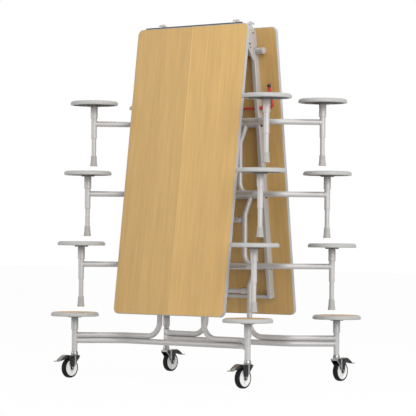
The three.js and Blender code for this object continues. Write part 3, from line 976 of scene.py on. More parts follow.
@dataclass
class Underframe:
    """Rails, cross rails, hinge plates and lift spring housings under one half."""

    half: Half
    board_gap: float = 0.3
    rail_x: float = 288.0
    rail_width: float = 30.0
    rail_depth: float = 46.0
    rail_start: float = 135.0
    rail_end: float = 1730.0
    rail_corner: float = 4.0
    hinge_cross_start: float = 88.0
    cross_width: float = 22.0
    cross_depth: float = 40.0
    front_plate_x: float = 302.3
    rear_plate_x: float = 289.0
    plate_thickness: float = 12.0
    plate_length: float = 215.0
    plate_softness: float = 1.2
    eye_radius: float = 26.0
    horn_depth: float = 71.0
    horn_width: float = 18.0
    horn_top: float = 44.0
    horn_bar_width: float = 76.0
    horn_bar_height: float = 15.0
    horn_droop: float = 8.0
    horn_shoulder: float = 19.0
    horn_tip: float = 4.0
    torsion_radius: float = 21.0
    torsion_reach: float = 60.0
    torsion_above_pivot: float = 16.0
    dark_screws: tuple[Point, ...] = ((34.0, 31.0, 6.0), (74.0, 97.0, 7.0))
    bright_screws: tuple[Point, ...] = ((70.0, 121.0, 9.0),)
    plug_inset: float = 2.5
    plug_height: float = 2.5
    pad_x: float = 150.0
    pad_half_width: float = 16.0
    clips: int = 5
    clip_start: float = 130.0
    clip_margin: float = 300.0
    tab_reach: float = 34.0
    tab_thickness: float = 3.0
    tab_half_width: float = 13.0
    tab_screw_in: float = 21.0

    @property
    def under(self) -> float:
        """Where the underside of the board lies."""
        return -LAYOUT.top_thickness - self.board_gap

    @property
    def plate_x(self) -> float:
        """Middle of a hinge plate: the front half's pair stands outside the rear half's."""
        return self.front_plate_x if self.half is Half.FRONT else self.rear_plate_x

    @property
    def clip_heights(self) -> list[float]:
        """Spreads the board's clips along a rail.

        Returns:
            Their heights in the top's frame.
        """
        run = self.rail_end - self.rail_start - self.clip_margin
        first = -self.rail_start - self.clip_start
        return [first - i * run / (self.clips - 1) for i in range(self.clips)]

    def _plate_outline(self) -> Outline:
        """Draws a hinge plate, with its eye and its T-shaped horn, in one outline.

        Returns:
            The outline, in y and z of the top's frame.
        """
        under, middle, top = self.under, -self.horn_depth, self.horn_top
        half_bar = self.horn_bar_width / 2
        left, right = middle - self.horn_width / 2, middle + self.horn_width / 2
        low = top - self.horn_bar_height
        droop = low - self.horn_droop
        tip = self.horn_tip
        outline = [
            (under, -self.plate_length),
            (under, -2.5 * self.horn_shoulder),
            (under - 2.5, -1.7 * self.horn_shoulder),
            (under - 9.0, -self.horn_shoulder),
            (right + 10.0, 5.0),
            (right + 2.5, 14.0),
            (right, 22.0),
            (right, low - 2.0),
            (middle + half_bar - 3.0, droop),
            *arc((middle + half_bar - tip, droop + 5.0), tip, -60, 40, 3),
            (middle + half_bar - 2.0, low + 2.0),
            (middle + 9.0, top - 2.2),
            (middle + 4.0, top),
            (middle - 4.0, top),
            (middle - 9.0, top - 2.2),
            (middle - half_bar + 2.0, low + 2.0),
            *arc((middle - half_bar + tip, droop + 5.0), tip, 140, 240, 3),
            (middle - half_bar + 3.0, droop),
            (left, low - 2.0),
            (left, 19.0),
        ]
        outline += arc(LAYOUT.hinge_axis, self.eye_radius, 70, 214, 10)
        return [*outline, (under - self.rail_depth, -self.plate_length)]

    def _hinge_plates(self) -> Shape:
        """Makes the pair of hinge plates.

        Returns:
            Their shape.
        """
        shape = Shape()
        for side in Side:
            x = side.value * self.plate_x
            ends = (x - self.plate_thickness / 2, x + self.plate_thickness / 2)
            shape.plate(self._plate_outline(), ends, Axis.X, self.plate_softness)
        return shape

    def _rails(self) -> Shape:
        """Makes the two rails and the cross rails between them.

        Returns:
            Their shape.
        """
        shape = Shape()
        depth = (self.under - self.rail_depth, self.under)
        for side in Side:
            middle = side.value * self.rail_x
            width = (middle - self.rail_width / 2, middle + self.rail_width / 2)
            section = rounded_outline(width, depth, self.rail_corner, 4)
            shape.plate(section, (-self.rail_end, -self.rail_start), Axis.Z, 0.0)
        cross_depth = (self.under - self.cross_depth, self.under)
        section = rounded_outline(cross_depth, (0.0, self.cross_width), self.rail_corner, 4)
        hinge_end = -self.hinge_cross_start - self.cross_width
        for low, reach in ((-self.rail_end, self.rail_x), (hinge_end, self.plate_x)):
            outline = [(y, z + low) for y, z in section]
            shape.plate(outline, (-reach, reach), Axis.X, 0.0)
        return shape

    def _housings(self) -> Shape:
        """Makes the ends of the lift spring housings, with their caps.

        Returns:
            Their shape.
        """
        shape = Shape()
        radius = self.torsion_radius
        outer = self.rail_x + self.rail_width / 2
        z = -(LAYOUT.pivot_down(1) - self.torsion_above_pivot)
        for side in Side:
            sign = side.value
            reach = (outer - 2, outer + self.torsion_reach)
            ends = [(sign * x, -LAYOUT.pivot_depth, z) for x in reach]
            shape.tube(ends, [], radius, 32)
            cap = [(0, 0), (radius * 0.62, 0), (radius * 0.58, sign * 2.0), (0, sign * 2.4)]
            shape.revolve(cap, ends[1], Axis.X, 24)
        return shape

    def _flush_screws(self, shape: Shape, side: Side, screws: Sequence[Point]) -> None:
        """Adds flat screw heads to the outer face of a hinge plate.

        Args:
            shape: the shape that takes them.
            side: the side that the plate is on.
            screws: for each, how far it lies from the board and the hinge edge, and its radius.
        """
        sign = side.value
        face = sign * (self.plate_x + self.plate_thickness / 2)
        for inwards, down, radius in screws:
            head = [(0, 0), (radius, 0), (radius - 0.5, sign * 0.7), (0, sign * 0.8)]
            shape.revolve(head, (face, self.under - inwards, -down), Axis.X, 20)

    def _frame_bolts(self) -> Shape:
        """Makes the bolts of the row pivots and the dark screws of the hinge plates.

        Returns:
            Their shape.
        """
        shape = Shape()
        outer = self.rail_x + self.rail_width / 2
        for side in Side:
            for row in range(2, LAYOUT.rows + 1):
                at = (side.value * outer, -LAYOUT.pivot_depth, -LAYOUT.pivot_down(row))
                shape.bolt(at, Axis.X, side.value)
            self._flush_screws(shape, side, self.dark_screws)
        return shape

    def _plate_bolts(self) -> Shape:
        """Makes the bright screws of the hinge plates.

        Returns:
            Their shape.
        """
        shape = Shape()
        for side in Side:
            self._flush_screws(shape, side, self.bright_screws)
        return shape

    def _plugs(self) -> Shape:
        """Makes the plugs in the rails' ends and the pads on the lower cross rail.

        Returns:
            Their shape.
        """
        shape = Shape()
        inset = self.plug_inset
        y = (self.under - self.rail_depth + inset, self.under - inset)
        inner = self.under - self.cross_depth
        for side in Side:
            middle = side.value * self.rail_x
            x = (middle - self.rail_width / 2 + inset, middle + self.rail_width / 2 - inset)
            for low in (-self.rail_end - 2.0, -self.rail_start - 0.5):
                shape.box(x, y, (low, low + self.plug_height), 0.8)
            middle = side.value * self.pad_x
            pad = (middle - self.pad_half_width, middle + self.pad_half_width)
            ends = (-self.rail_end + 3, -self.rail_end + 19)
            shape.box(pad, (inner - 9.0, inner - 0.2), ends, 3.0)
        return shape

    def _board_tabs(self) -> Shape:
        """Makes the tabs that hold the board to the rails.

        Returns:
            Their shape.
        """
        shape = Shape()
        inner = self.rail_x - self.rail_width / 2
        y = (self.under - self.tab_thickness, self.under - 0.1)
        for side in Side:
            x = span(side.value * (inner + 1), side.value * (inner - self.tab_reach))
            for z in self.clip_heights:
                shape.box(x, y, (z - self.tab_half_width, z + self.tab_half_width), 1.0)
        return shape

    def _board_screws(self) -> Shape:
        """Makes the domed screws of the tabs.

        Returns:
            Their shape.
        """
        shape = Shape()
        inner = self.rail_x - self.rail_width / 2
        head = [(0, 0), (5.5, 0), (4.6, 1.8), (2.2, 2.6), (0, 2.7)]
        turn = Matrix.Rotation(math.pi / 2, 4, "X")
        for side in Side:
            for z in self.clip_heights:
                x = side.value * (inner - self.tab_screw_in)
                at = Vector((x, self.under - self.tab_thickness, z)) * MM
                dome = Shape().revolve(head, sides=16)
                shape.absorb(dome, Matrix.Translation(at) @ turn)
        return shape

    def build(self) -> None:
        """Makes the frame, its plates, its housings and its fixings."""
        label = self.half.label
        place = LAYOUT.top_frame(self.half)
        body = f"{label}_top"
        self._rails().piece(f"{label}_rails", place, PAINT, body, [f"{label}_underframe"])
        pieces = (
            ("hinge_plates", self._hinge_plates(), PAINT),
            ("lift_spring_housings", self._housings(), PAINT),
            ("frame_bolts", self._frame_bolts(), DARK_STEEL),
            ("plate_bolts", self._plate_bolts(), STEEL),
            ("rail_plugs", self._plugs(), PLUG),
            ("board_tabs", self._board_tabs(), PAINT),
            ("board_screws", self._board_screws(), STEEL),
        )
        for name, shape, finish in pieces:
            shape.piece(f"{label}_{name}", place, finish, body)


@dataclass
class CentreHinge:
    """The rod of the centre hinge and the bumper along the hinge edge, on the front half."""

    body: str = "front_top"
    rod_radius: float = 10.0
    rod_half_length: float = 318.0
    nut_radius: float = 14.0
    nut_inset: float = 6.8
    strip_half_length: float = 392.0
    strip_height: float = 10.5
    strip_depth: float = 16.0
    strip_foot: float = 0.3

    def _rod(self) -> Shape:
        """Makes the rod with its end nuts.

        Returns:
            Its shape.
        """
        axis = LAYOUT.hinge_axis
        rod = Shape().bar(self.rod_half_length, axis, self.rod_radius)
        for side in Side:
            x = side.value * (self.rod_half_length - self.nut_inset)
            rod.bolt((x, *axis), Axis.X, side.value, self.nut_radius)
        return rod

    def _strip(self) -> Shape:
        """Makes the round-backed bumper strip.

        Returns:
            Its shape.
        """
        middle = -LAYOUT.top_thickness / 2
        reach = self.strip_depth / 2
        rise = self.strip_height - 0.6
        back = arc((middle, 1.0), reach, 0, 180, 10)
        back = [(y, 0.4 + rise * max(0.0, z - 1.0) / reach) for y, z in back]
        foot = self.strip_foot
        outline = [(middle + reach, foot), *back, (middle - reach, foot)]
        ends = (-self.strip_half_length, self.strip_half_length)
        return Shape().plate(outline, ends, Axis.X, 0.0)

    def build(self) -> None:
        """Makes the rod and the strip."""
        place = LAYOUT.top_frame(Half.FRONT)
        rod, strip = self._rod(), self._strip()
        rod.piece("hinge_rod_with_nuts", place, STEEL, self.body, ["centre_hinge_rod"])
        strip.piece("bumper_strip", place, STRIP, self.body, ["centre_bumper_strip"])


@dataclass
class FoldLock:
    """The red rod across the rear rails, with its lever and knob."""

    body: str = "lock"
    down: float = 509.0
    radius: float = 8.0
    left_x: float = -318.0
    right_x: float = 405.0
    collar_x: Point = (-312.0, 312.0)
    collar_radius: float = 14.0
    collar_length: float = 8.0
    lever_length: float = 130.0
    lever_offset: float = 23.0
    bend: float = 26.0
    knob_radius: float = 13.0
    knob_seat: float = 0.3
    knob_first_angle: float = -50.0
    grip_radius: float = 10.0
    grip_length: float = 84.0

    @property
    def tip(self) -> Vector:
        """Upper end of the lever, in the frame of the rear top."""
        y = -LAYOUT.pivot_depth - self.lever_offset
        return Vector((self.right_x, y, -self.down + self.lever_length))

    def _rod(self) -> Shape:
        """Makes the bent rod, its collars and the sleeve on its lever.

        Returns:
            Its shape.
        """
        axis = (-LAYOUT.pivot_depth, -self.down)
        corners = [(self.left_x, *axis), (self.right_x, *axis), self.tip]
        rod = Shape().tube(corners, [self.bend], self.radius, 20, 10)
        for x in self.collar_x:
            ends = (0.0, self.collar_length)
            rod.collar((x, *axis), self.radius - 1, self.collar_radius, ends, 24)
        lean = Vector((0.0, -self.lever_offset, self.lever_length)).normalized()
        grip = [self.tip - lean * self.grip_length, self.tip - lean * 2.0]
        return rod.tube(grip, [], self.grip_radius)

    def _knob(self) -> Shape:
        """Makes the ball knob, with a flat seat at its origin.

        Returns:
            Its shape.
        """
        sunk = self.knob_radius * math.sin(math.radians(self.knob_first_angle))
        centre = (0.0, self.knob_seat - sunk)
        ball = arc(centre, self.knob_radius, self.knob_first_angle, 90, 14)
        profile = [(0.0, self.knob_seat), *ball[:-1], (0.0, ball[-1][1])]
        return Shape().revolve(profile, sides=32)

    def build(self) -> None:
        """Makes the rod and its knob."""
        place = LAYOUT.top_frame(Half.REAR)
        self._rod().piece("lock_lever", place, RED, self.body, ["lock_rod"])
        tilt = Matrix.Rotation(math.atan2(self.lever_offset, self.lever_length), 4, "X")
        knob_place = place @ Matrix.Translation(self.tip * MM) @ tilt
        self._knob().piece("lock_ball", knob_place, BLACK, self.body, ["lock_knob"])


@dataclass
class Carrier:
    """One carrier of two stools: bent crossbar, struts, pivot tube and posts."""

    half: Half
    row: int
    tube_radius: float = 18.0
    base_strut_radius: float = 17.5
    strut_radius: float = 16.5
    strut_x: float = 180.0
    strut_tail_x: float = 275.0
    strut_bend: float = 76.0
    base_strut_bend: float = 98.0
    knee_z: float = 600.0
    knee_bend: float = 60.0
    arm_bend_x: float = 490.0
    arm_bend: float = 100.0
    arm_z: float = 273.0
    lower_z: float = 237.5
    cross_radius: float = 14.0
    pivot_radius: float = 13.0
    pivot_end: float = 271.5
    pin_radius: float = 7.0
    pin_end: float = 302.0
    post_bottom: float = 177.0
    sleeve_radius: float = 23.0
    sleeve_bottom: float = 307.0
    sleeve_top: float = 385.7
    weld_height: float = 1.3
    weld_length: float = 4.5
    collar_inset: float = 48.0
    collar_radius: float = 18.5
    collar_half_length: float = 17.0

    @property
    def is_base(self) -> bool:
        """Whether this is the row that stands on castors."""
        return self.row == LAYOUT.rows

    def _strut(self, shape: Shape, side: Side) -> None:
        """Adds a strut, which on the base row is one tube with the upper arm.

        Args:
            shape: the shape that takes it.
            side: the side that it is on.
        """
        sign = side.value
        foot = (sign * self.strut_x, 0, self.arm_z)
        knee = (sign * self.strut_x, 0, self.knee_z)
        top = (sign * self.strut_x, LAYOUT.pivot_y, LAYOUT.pivot_z)
        if self.is_base:
            end = (sign * LAYOUT.stool_x, LAYOUT.stool_y, self.arm_z)
            start = [end, (sign * self.arm_bend_x, 0, self.arm_z)]
            bends = [self.arm_bend, self.base_strut_bend, self.knee_bend]
            radius = self.base_strut_radius
        else:
            start = [(sign * self.strut_tail_x, 0, self.arm_z)]
            bends = [self.strut_bend, self.knee_bend]
            radius = self.strut_radius
        shape.tube([*start, foot, knee, top], bends, radius)

    def _tubes(self) -> Shape:
        """Makes the crossbar, the struts and the tubes across them.

        Returns:
            Their shape.
        """
        shape = Shape()
        z = self.lower_z if self.is_base else self.arm_z
        x, y = LAYOUT.stool_x, LAYOUT.stool_y
        crossbar = [(-x, y, z), (-self.arm_bend_x, 0, z), (self.arm_bend_x, 0, z), (x, y, z)]
        shape.tube(crossbar, [self.arm_bend, self.arm_bend], self.tube_radius)
        shape.bar(self.strut_x, (0, LAYOUT.cross_tube_z), self.cross_radius)
        pivot = (LAYOUT.pivot_y, LAYOUT.pivot_z)
        shape.bar(self.pivot_end, pivot, self.pivot_radius)
        shape.bar(self.pin_end, pivot, self.pin_radius, 16)
        for side in Side:
            self._strut(shape, side)
        return shape

    def _posts(self) -> Shape:
        """Makes the two posts, with their wider sleeves under the stools.

        Returns:
            Their shape.
        """
        shape = Shape()
        bottom = LAYOUT.castor_height if self.is_base else self.post_bottom
        post, sleeve = LAYOUT.post_radius, self.sleeve_radius
        profile = [
            (0.0, bottom),
            (post - 1.0, bottom),
            (post, bottom + 1.0),
            (post, self.sleeve_bottom),
            (sleeve - 1.5, self.sleeve_bottom),
            (sleeve, self.sleeve_bottom + 1.5),
            (sleeve, self.sleeve_top - 1.5),
            (sleeve - 1.0, self.sleeve_top),
            (0.0, self.sleeve_top),
        ]
        for side in Side:
            centre = (side.value * LAYOUT.stool_x, LAYOUT.stool_y, 0)
            shape.revolve(profile, centre, sides=28)
        return shape

    def _welds(self) -> Shape:
        """Makes the weld beads round the arms and the struts where they meet.

        Returns:
            Their shape.
        """
        shape = Shape()
        reach = Vector((LAYOUT.stool_x - self.arm_bend_x, LAYOUT.stool_y, 0)).normalized()
        heights = [self.arm_z, self.lower_z] if self.is_base else [self.arm_z]
        for side in Side:
            outwards = Vector((side.value * reach.x, reach.y, 0))
            post = Vector((side.value * LAYOUT.stool_x, LAYOUT.stool_y, 0))
            for z in heights:
                at = post - outwards * (LAYOUT.post_radius - 1.0) + Vector((0, 0, z))
                arm = [at - outwards * self.weld_length, at]
                shape.tube(arm, [], self.tube_radius + self.weld_height)
            inner = self.strut_x - self.strut_radius
            ends = [(side.value * (inner + out), 0, LAYOUT.cross_tube_z) for out in (2, -4)]
            shape.tube(ends, [], self.cross_radius + self.weld_height)
        return shape

    def build(self) -> None:
        """Makes the carrier's tubes, posts, welds and collars."""
        label = f"{self.half.label}_{self.row}"
        place = LAYOUT.carrier_frame(self.half, self.row)
        body = LAYOUT.carrier_body(self.half, self.row)
        node = f"{self.half.label}_carrier_{self.row}"
        self._tubes().piece(f"carrier_tubes_{label}", place, PAINT, body, [node])
        self._posts().piece(f"stool_posts_{label}", place, PAINT, body, [node])
        self._welds().piece(f"carrier_welds_{label}", place, PAINT, body)
        collars = Shape()
        bolts = Shape()
        ends = (-self.collar_half_length, self.collar_half_length)
        for side in Side:
            x = side.value * (self.strut_x - self.collar_inset)
            centre = (x, 0, LAYOUT.cross_tube_z)
            collars.collar(centre, self.cross_radius - 1, self.collar_radius, ends, 28)
            bolts.bolt((x, 0, LAYOUT.cross_tube_z + 18.0), Axis.Z, 1, 5.0)
        collars.piece(f"strut_collars_{label}", place, PAINT, body)
        bolts.piece(f"collar_bolts_{label}", place, DARK_STEEL, body)


@dataclass
class OnPost:
    """What stands on one post of a carrier, or under it."""

    half: Half
    row: int
    side: Side

    @property
    def label(self) -> str:
        """The post's name in node names."""
        return f"{self.half.label}_{self.row}_{self.side.label}"

    @property
    def body(self) -> str:
        """The body that the post belongs to."""
        return LAYOUT.carrier_body(self.half, self.row)

    @property
    def place(self) -> Matrix:
        """The post's frame."""
        return LAYOUT.post_frame(self.half, self.row, self.side)


@dataclass
class Stool(OnPost):
    """One round stool: moulded rim, laminate disc, ribbed underside."""

    radius: float = 153.5
    top: float = 420.0
    thickness: float = 27.0
    disc_radius: float = 134.0
    disc_play: float = 0.6
    recess: float = 9.0
    rim_fall: tuple[float, float] = (17.0, 17.0)
    lip_radius: float = 6.0
    hollow: float = 11.0
    boss_radius: float = 44.0
    boss_height: float = 7.0
    ribs: int = 12
    rib_half_width: float = 1.6
    screws: int = 4
    screw_circle: float = 33.5
    sides: int = 72

    @property
    def low(self) -> float:
        """Height of the rim's lower lip."""
        return self.top - self.thickness

    def _rim(self) -> Shape:
        """Makes the moulded rim, open underneath, with its rolled lower lip.

        Returns:
            Its shape.
        """
        low, top, lip = self.low, self.top, self.lip_radius
        bed = self.disc_radius + self.disc_play
        wide, deep = self.rim_fall
        profile = [(0.0, top - self.recess), (bed, top - self.recess), (bed, top - 0.6)]
        profile += [(self.disc_radius + 1.6, top)]
        for i in range(9):
            turn = math.pi / 2 * i / 8
            fall = top - deep * (1 - math.cos(turn))
            profile.append((self.radius - wide * (1 - math.sin(turn)), fall))
        profile += arc((self.radius - lip, low + lip), lip, 0, -90, 5)
        profile += [(self.radius - 15.0, low), (self.radius - 16.5, low + 1.5)]
        profile += [(self.radius - 17.0, low + self.hollow), (0.0, low + self.hollow)]
        return Shape().revolve(profile, sides=self.sides)

    def _underside(self) -> Shape:
        """Makes the ribs, the boss and its screws.

        Returns:
            Their shape.
        """
        shape = Shape()
        outer = self.boss_radius
        boss = self.low - self.boss_height
        roof = self.low + self.hollow + 1.0
        profile = [(0, boss), (outer - 1.5, boss), (outer, boss + 1.5), (outer, roof), (0, roof)]
        shape.revolve(profile)
        width = (-self.rib_half_width, self.rib_half_width)
        for i in range(self.ribs):
            rib = Shape().box((outer - 2, self.radius - 15), width, (self.low + 1.5, roof), 0.6)
            shape.absorb(rib, Matrix.Rotation(2 * math.pi * i / self.ribs, 4, "Z"))
        for i in range(self.screws):
            angle = math.pi / 4 + i * math.pi / 2
            x, y = self.screw_circle * math.cos(angle), self.screw_circle * math.sin(angle)
            head = [(0, 0), (5.0, 0), (4.0, -2.0), (0, -2.4)]
            shape.revolve(head, (x, y, boss), sides=14)
        return shape

    def _disc(self) -> Shape:
        """Makes the laminate disc in its recess.

        Returns:
            Its shape.
        """
        top, radius = self.top, self.disc_radius
        profile = [(0, top - 8.8), (radius, top - 8.8), (radius, top - 1.2)]
        profile += [(radius - 1.2, top - 0.1), (0, top - 0.1)]
        return Shape().revolve(profile, sides=self.sides)

    def build(self) -> None:
        """Makes the stool's three pieces."""
        pieces = (
            ("rim", self._rim(), SEAT_PLASTIC),
            # The underside's ribs, boss and screws are darkened with painted shade.
            ("underside", self._underside(), SEAT_SHADE),
            ("disc", self._disc(), SEAT_WOOD),
        )
        for name, shape, finish in pieces:
            node = [f"seat_{self.label}"]
            shape.piece(f"stool_{name}_{self.label}", self.place, finish, self.body, node)


@dataclass
class Foot(OnPost):
    """One foot: the lower tube of a post and its flared ferrule."""

    tube_radius: float = 15.0
    tube_top: float = 176.7
    tube_sunk: float = 20.0
    height: float = 65.0
    top_radius: float = 18.5
    bottom_radius: float = 23.5

    def _tube(self) -> Shape:
        """Makes the lower tube.

        Returns:
            Its shape.
        """
        low, high, radius = self.height - self.tube_sunk, self.tube_top, self.tube_radius
        return Shape().revolve([(0, low), (radius, low), (radius, high), (0, high)], sides=28)

    def _ferrule(self) -> Shape:
        """Makes the flared ferrule, with the moulded ring at its top.

        Returns:
            Its shape.
        """
        wide, slim = self.bottom_radius, self.top_radius
        flare = [
            (0, 0),
            (wide - 1.5, 0),
            (wide, 1.5),
            (wide, 7.0),
            (wide - 0.8, 9.0),
            (wide - 1.6, 14.0),
            (slim + 1.2, 36.0),
            (slim, 50.0),
            (slim + 0.6, 52.0),
            (slim + 0.6, 62.0),
            (slim - 0.8, self.height),
            (self.tube_radius + 0.2, self.height),
            (0, self.height - 1.0),
        ]
        return Shape().revolve(flare)

    def build(self) -> None:
        """Makes the tube and the ferrule."""
        node = [f"foot_{self.label}"]
        self._tube().piece(f"foot_tube_{self.label}", self.place, PAINT, self.body, node)
        self._ferrule().piece(f"foot_ferrule_{self.label}", self.place, FERRULE, self.body, node)


@dataclass
class Castor:
    """One braked castor: swivel head, fork, wheel and brake pedal."""

    half: Half
    side: Side
    trail: float = 44.0
    wheel_radius: float = 63.5
    half_width: float = 18.0
    hub_radius: float = 51.0
    axle_radius: float = 6.0
    axle_eye: float = 14.0
    axle_nut: float = 7.0
    head_radius: float = 24.0
    leg_inner: float = 22.0
    leg_outer: float = 26.0
    flange_lip: float = 0.6
    crown_z: float = 131.0
    crown_thickness: float = 12.0
    crown_reach: float = 63.0
    pedal_y: float = 72.0
    pedal_z: float = 134.0
    pedal_half_width: float = 17.0
    pedal_reach: float = 180.0
    pedal_sheet: float = 2.6
    pedal_pin: float = 4.0
    toe_z: float = 110.0
    toe_ribs: int = 4
    toe_rib_pitch: float = 5.5

    @property
    def label(self) -> str:
        """The castor's name in node and body names."""
        return f"{self.half.label}_{self.side.label}"

    @property
    def place(self) -> Matrix:
        """Frame of the castor, with its wheel trailing towards +Y."""
        return LAYOUT.post_frame(self.half, LAYOUT.rows, self.side)

    @property
    def crown_top(self) -> float:
        """Height of the crown's upper face."""
        return self.crown_z + self.crown_thickness

    @property
    def axle(self) -> tuple[float, float]:
        """Place of the axle, as y and z."""
        return self.trail, self.wheel_radius

    def _fork(self) -> None:
        """Makes the pressed legs, darkened with painted shade, and the crown with the legs' bright
        flanges and ribs.
        """
        top, back = self.crown_top, -self.head_radius
        front = [(back, top), (back + 3, self.crown_z - 4), (8.0, 98.0), (27.0, 70.0)]
        leg = [*front, *arc(self.axle, self.axle_eye, 170, 370, 10)]
        leg += [(self.trail + 19, 100.0), (self.pedal_y + 3, self.pedal_z - 10)]
        leg += arc((self.pedal_y + 1, top - 7), 8, -40, 80, 5)
        edge = [(y + 5.0, z + 1.5) for y, z in reversed(front[1:])]
        flange = [*front, *edge, (back + 6, top)]
        rib = [(12.0, top - 2), (26.0, top - 2), (28.0, 78.0), (22.0, 82.0), (13.0, 96.0)]
        lip = self.flange_lip
        legs = Shape()
        trim = Shape()
        for side in Side:
            sign = side.value
            ends = span(sign * self.leg_inner, sign * self.leg_outer)
            legs.plate(leg, ends, Axis.X, 0.9)
            trim.plate(flange, (ends[0] - lip, ends[1] + lip), Axis.X, 0.5)
            face = sign * self.leg_outer
            trim.plate(rib, span(face - sign * 0.5, face + sign * 1.4), Axis.X, 0.6)
        width = self.leg_outer - lip
        trim.box((-width, width), (back + 3, self.crown_reach), (self.crown_z, top), 2.0)
        body, node = f"castor_{self.label}", [f"castor_fork_{self.label}"]
        # The legs take the painted shade; the flanges, ribs and crown keep the plate's own grey.
        legs.piece(f"castor_legs_{self.label}", self.place, SHADED_FORK_STEEL, body, node)
        trim.piece(f"castor_crown_{self.label}", self.place, CASTOR_STEEL, body)

    def _bearing(self) -> None:
        """Makes the swivel head with its ball race, and the axle with its nuts."""
        top, radius = self.crown_top, self.head_radius
        high, post = LAYOUT.castor_height, LAYOUT.post_radius
        race = [
            (0, top - 1),
            (radius, top - 1),
            (radius, top + 5),
            (radius - 2, top + 6.5),
            (radius - 2, top + 8.5),
            (radius - 0.5, top + 10),
            (radius - 1, high - 12),
            (post + 2.5, high - 6),
            (post + 0.5, high - 0.4),
            (0, high - 0.4),
        ]
        head = Shape().revolve(race)
        head.bar(self.leg_outer, self.axle, self.axle_radius, 20)
        for side in Side:
            at = (side.value * self.leg_outer, *self.axle)
            head.bolt(at, Axis.X, side.value, self.axle_nut)
        body = f"castor_{self.label}"
        head.piece(f"castor_bearing_{self.label}", self.place, CASTOR_STEEL, body)

    def _wheel(self) -> None:
        """Makes the tyre and the pale hub with its raised boss."""
        w, r, h = self.half_width, self.wheel_radius, self.hub_radius
        tread = [(h, -w + 1.5), (h + 2, -w), (r - 6, -w), (r - 2.5, -w + 2.5)]
        tread += [(r - 0.8, -w + 6), (r, -w + 11)]
        dish = [(self.axle_radius + 0.8, -w), (13, -w), (15, -w + 4), (36, -w + 7)]
        dish += [(43, -w + 1.6), (h - 0.2, -w + 1)]
        body, node = f"wheel_{self.label}", [f"castor_wheel_{self.label}"]
        for name, section, finish in (("tyre", tread, TYRE), ("wheel_hub", dish, HUB)):
            shape = Shape().revolve(mirrored_loop(section), (0.0, *self.axle), Axis.X, 56)
            shape.piece(f"{name}_{self.label}", self.place, finish, body, node)

    def _pedal(self) -> None:
        """Makes the brake pedal: a bright arched top with a flat toe, over dark cheeks."""
        y, z, toe, end = self.pedal_y, self.pedal_z, self.toe_z, self.pedal_reach
        half, sheet = self.pedal_half_width, self.pedal_sheet
        arch = [(y - 3.5, z + 11.5), (y + 10, z + 14.6), (y + 20, z + 13.8), (y + 28, z + 11.6)]
        arch += [(y + 37, z + 8.4), (y + 44, z + 4.6)]
        arch += [(end - 50, toe + 20.5), (end - 36, toe + 11.6), (end - 28, toe + 2.6)]
        tip = [(end - 2, toe + 1.6), (end - 0.4, toe)]
        tip += [(end - 2, toe - sheet), (end - 29, toe - sheet)]
        under = [(along - 1.4, up - sheet) for along, up in reversed(arch[:-1])]
        pedal = Shape().plate([*arch, *tip, *under], (-half, half), Axis.X, 0.6)
        for i in range(self.toe_ribs):
            start = end - 24 + i * self.toe_rib_pitch
            pedal.box((-half + 2, half - 2), (start, start + 2.2), (toe + 0.8, toe + 2.9), 0.5)
        body, node = f"pedal_{self.label}", [f"brake_pedal_{self.label}"]
        pedal.piece(f"pedal_plate_{self.label}", self.place, PEDAL_STEEL, body, node)
        cheek = [*reversed(under), (end - 33, toe + 2.0), (end - 41, toe + 1.0)]
        cheek += [(y + 28, z - 13.5), (y - 3.5, z - 5.5)]
        cheeks = Shape().plate(cheek, (-half + 1.2, half - 1.2), Axis.X, 0.8)
        cheeks.bar(self.leg_inner - 0.6, (y, z), self.pedal_pin, 16)
        cheeks.piece(f"pedal_cheeks_{self.label}", self.place, GUARD, body)

    def build(self) -> None:
        """Makes the castor's moving pieces."""
        self._fork()
        self._bearing()
        self._wheel()
        self._pedal()


@dataclass
class LevellingLink:
    """The flat bar that keeps the carriers of one half upright."""

    half: Half
    width: float = 20.0
    thickness: float = 12.0
    eye_radius: float = 24.0
    bore_radius: float = 15.0
    weld_overlap: float = 2.0

    def build(self) -> None:
        """Makes the bar and its eyes round the cross tubes."""
        label = self.half.label
        link = Shape()
        t = self.thickness / 2
        eye = [(self.bore_radius, -t), (self.eye_radius - 1, -t), (self.eye_radius, -t + 1)]
        for i in range(LAYOUT.rows):
            z = i * LAYOUT.pitch
            link.revolve(mirrored_loop(eye), (0, 0, z), Axis.X, 40)
            if i < LAYOUT.rows - 1:
                low = z + self.eye_radius - self.weld_overlap
                high = z + LAYOUT.pitch - self.eye_radius + self.weld_overlap
                width = (-self.width / 2, self.width / 2)
                link.box((-t + 0.5, t - 0.5), width, (low, high), 1.0)
        place = LAYOUT.link_frame(self.half)
        link.piece(f"{label}_link_bar", place, PAINT, f"{label}_link", [f"{label}_levelling_link"])


@dataclass(frozen=True)
class Lamp:
    """One soft square lamp, with its places and its size in metres."""

    name: str
    at: Point
    aim: Point
    size: float
    watts: float

    def build(self) -> None:
        """Makes the lamp."""
        data = bpy.data.lights.new(self.name, "AREA")
        data.size = self.size
        data.energy = self.watts
        lamp = placed(self.name, data)
        lamp.location = self.at
        way = Vector(self.aim) - Vector(self.at)
        lamp.rotation_euler = way.to_track_quat("-Z", "Y").to_euler()


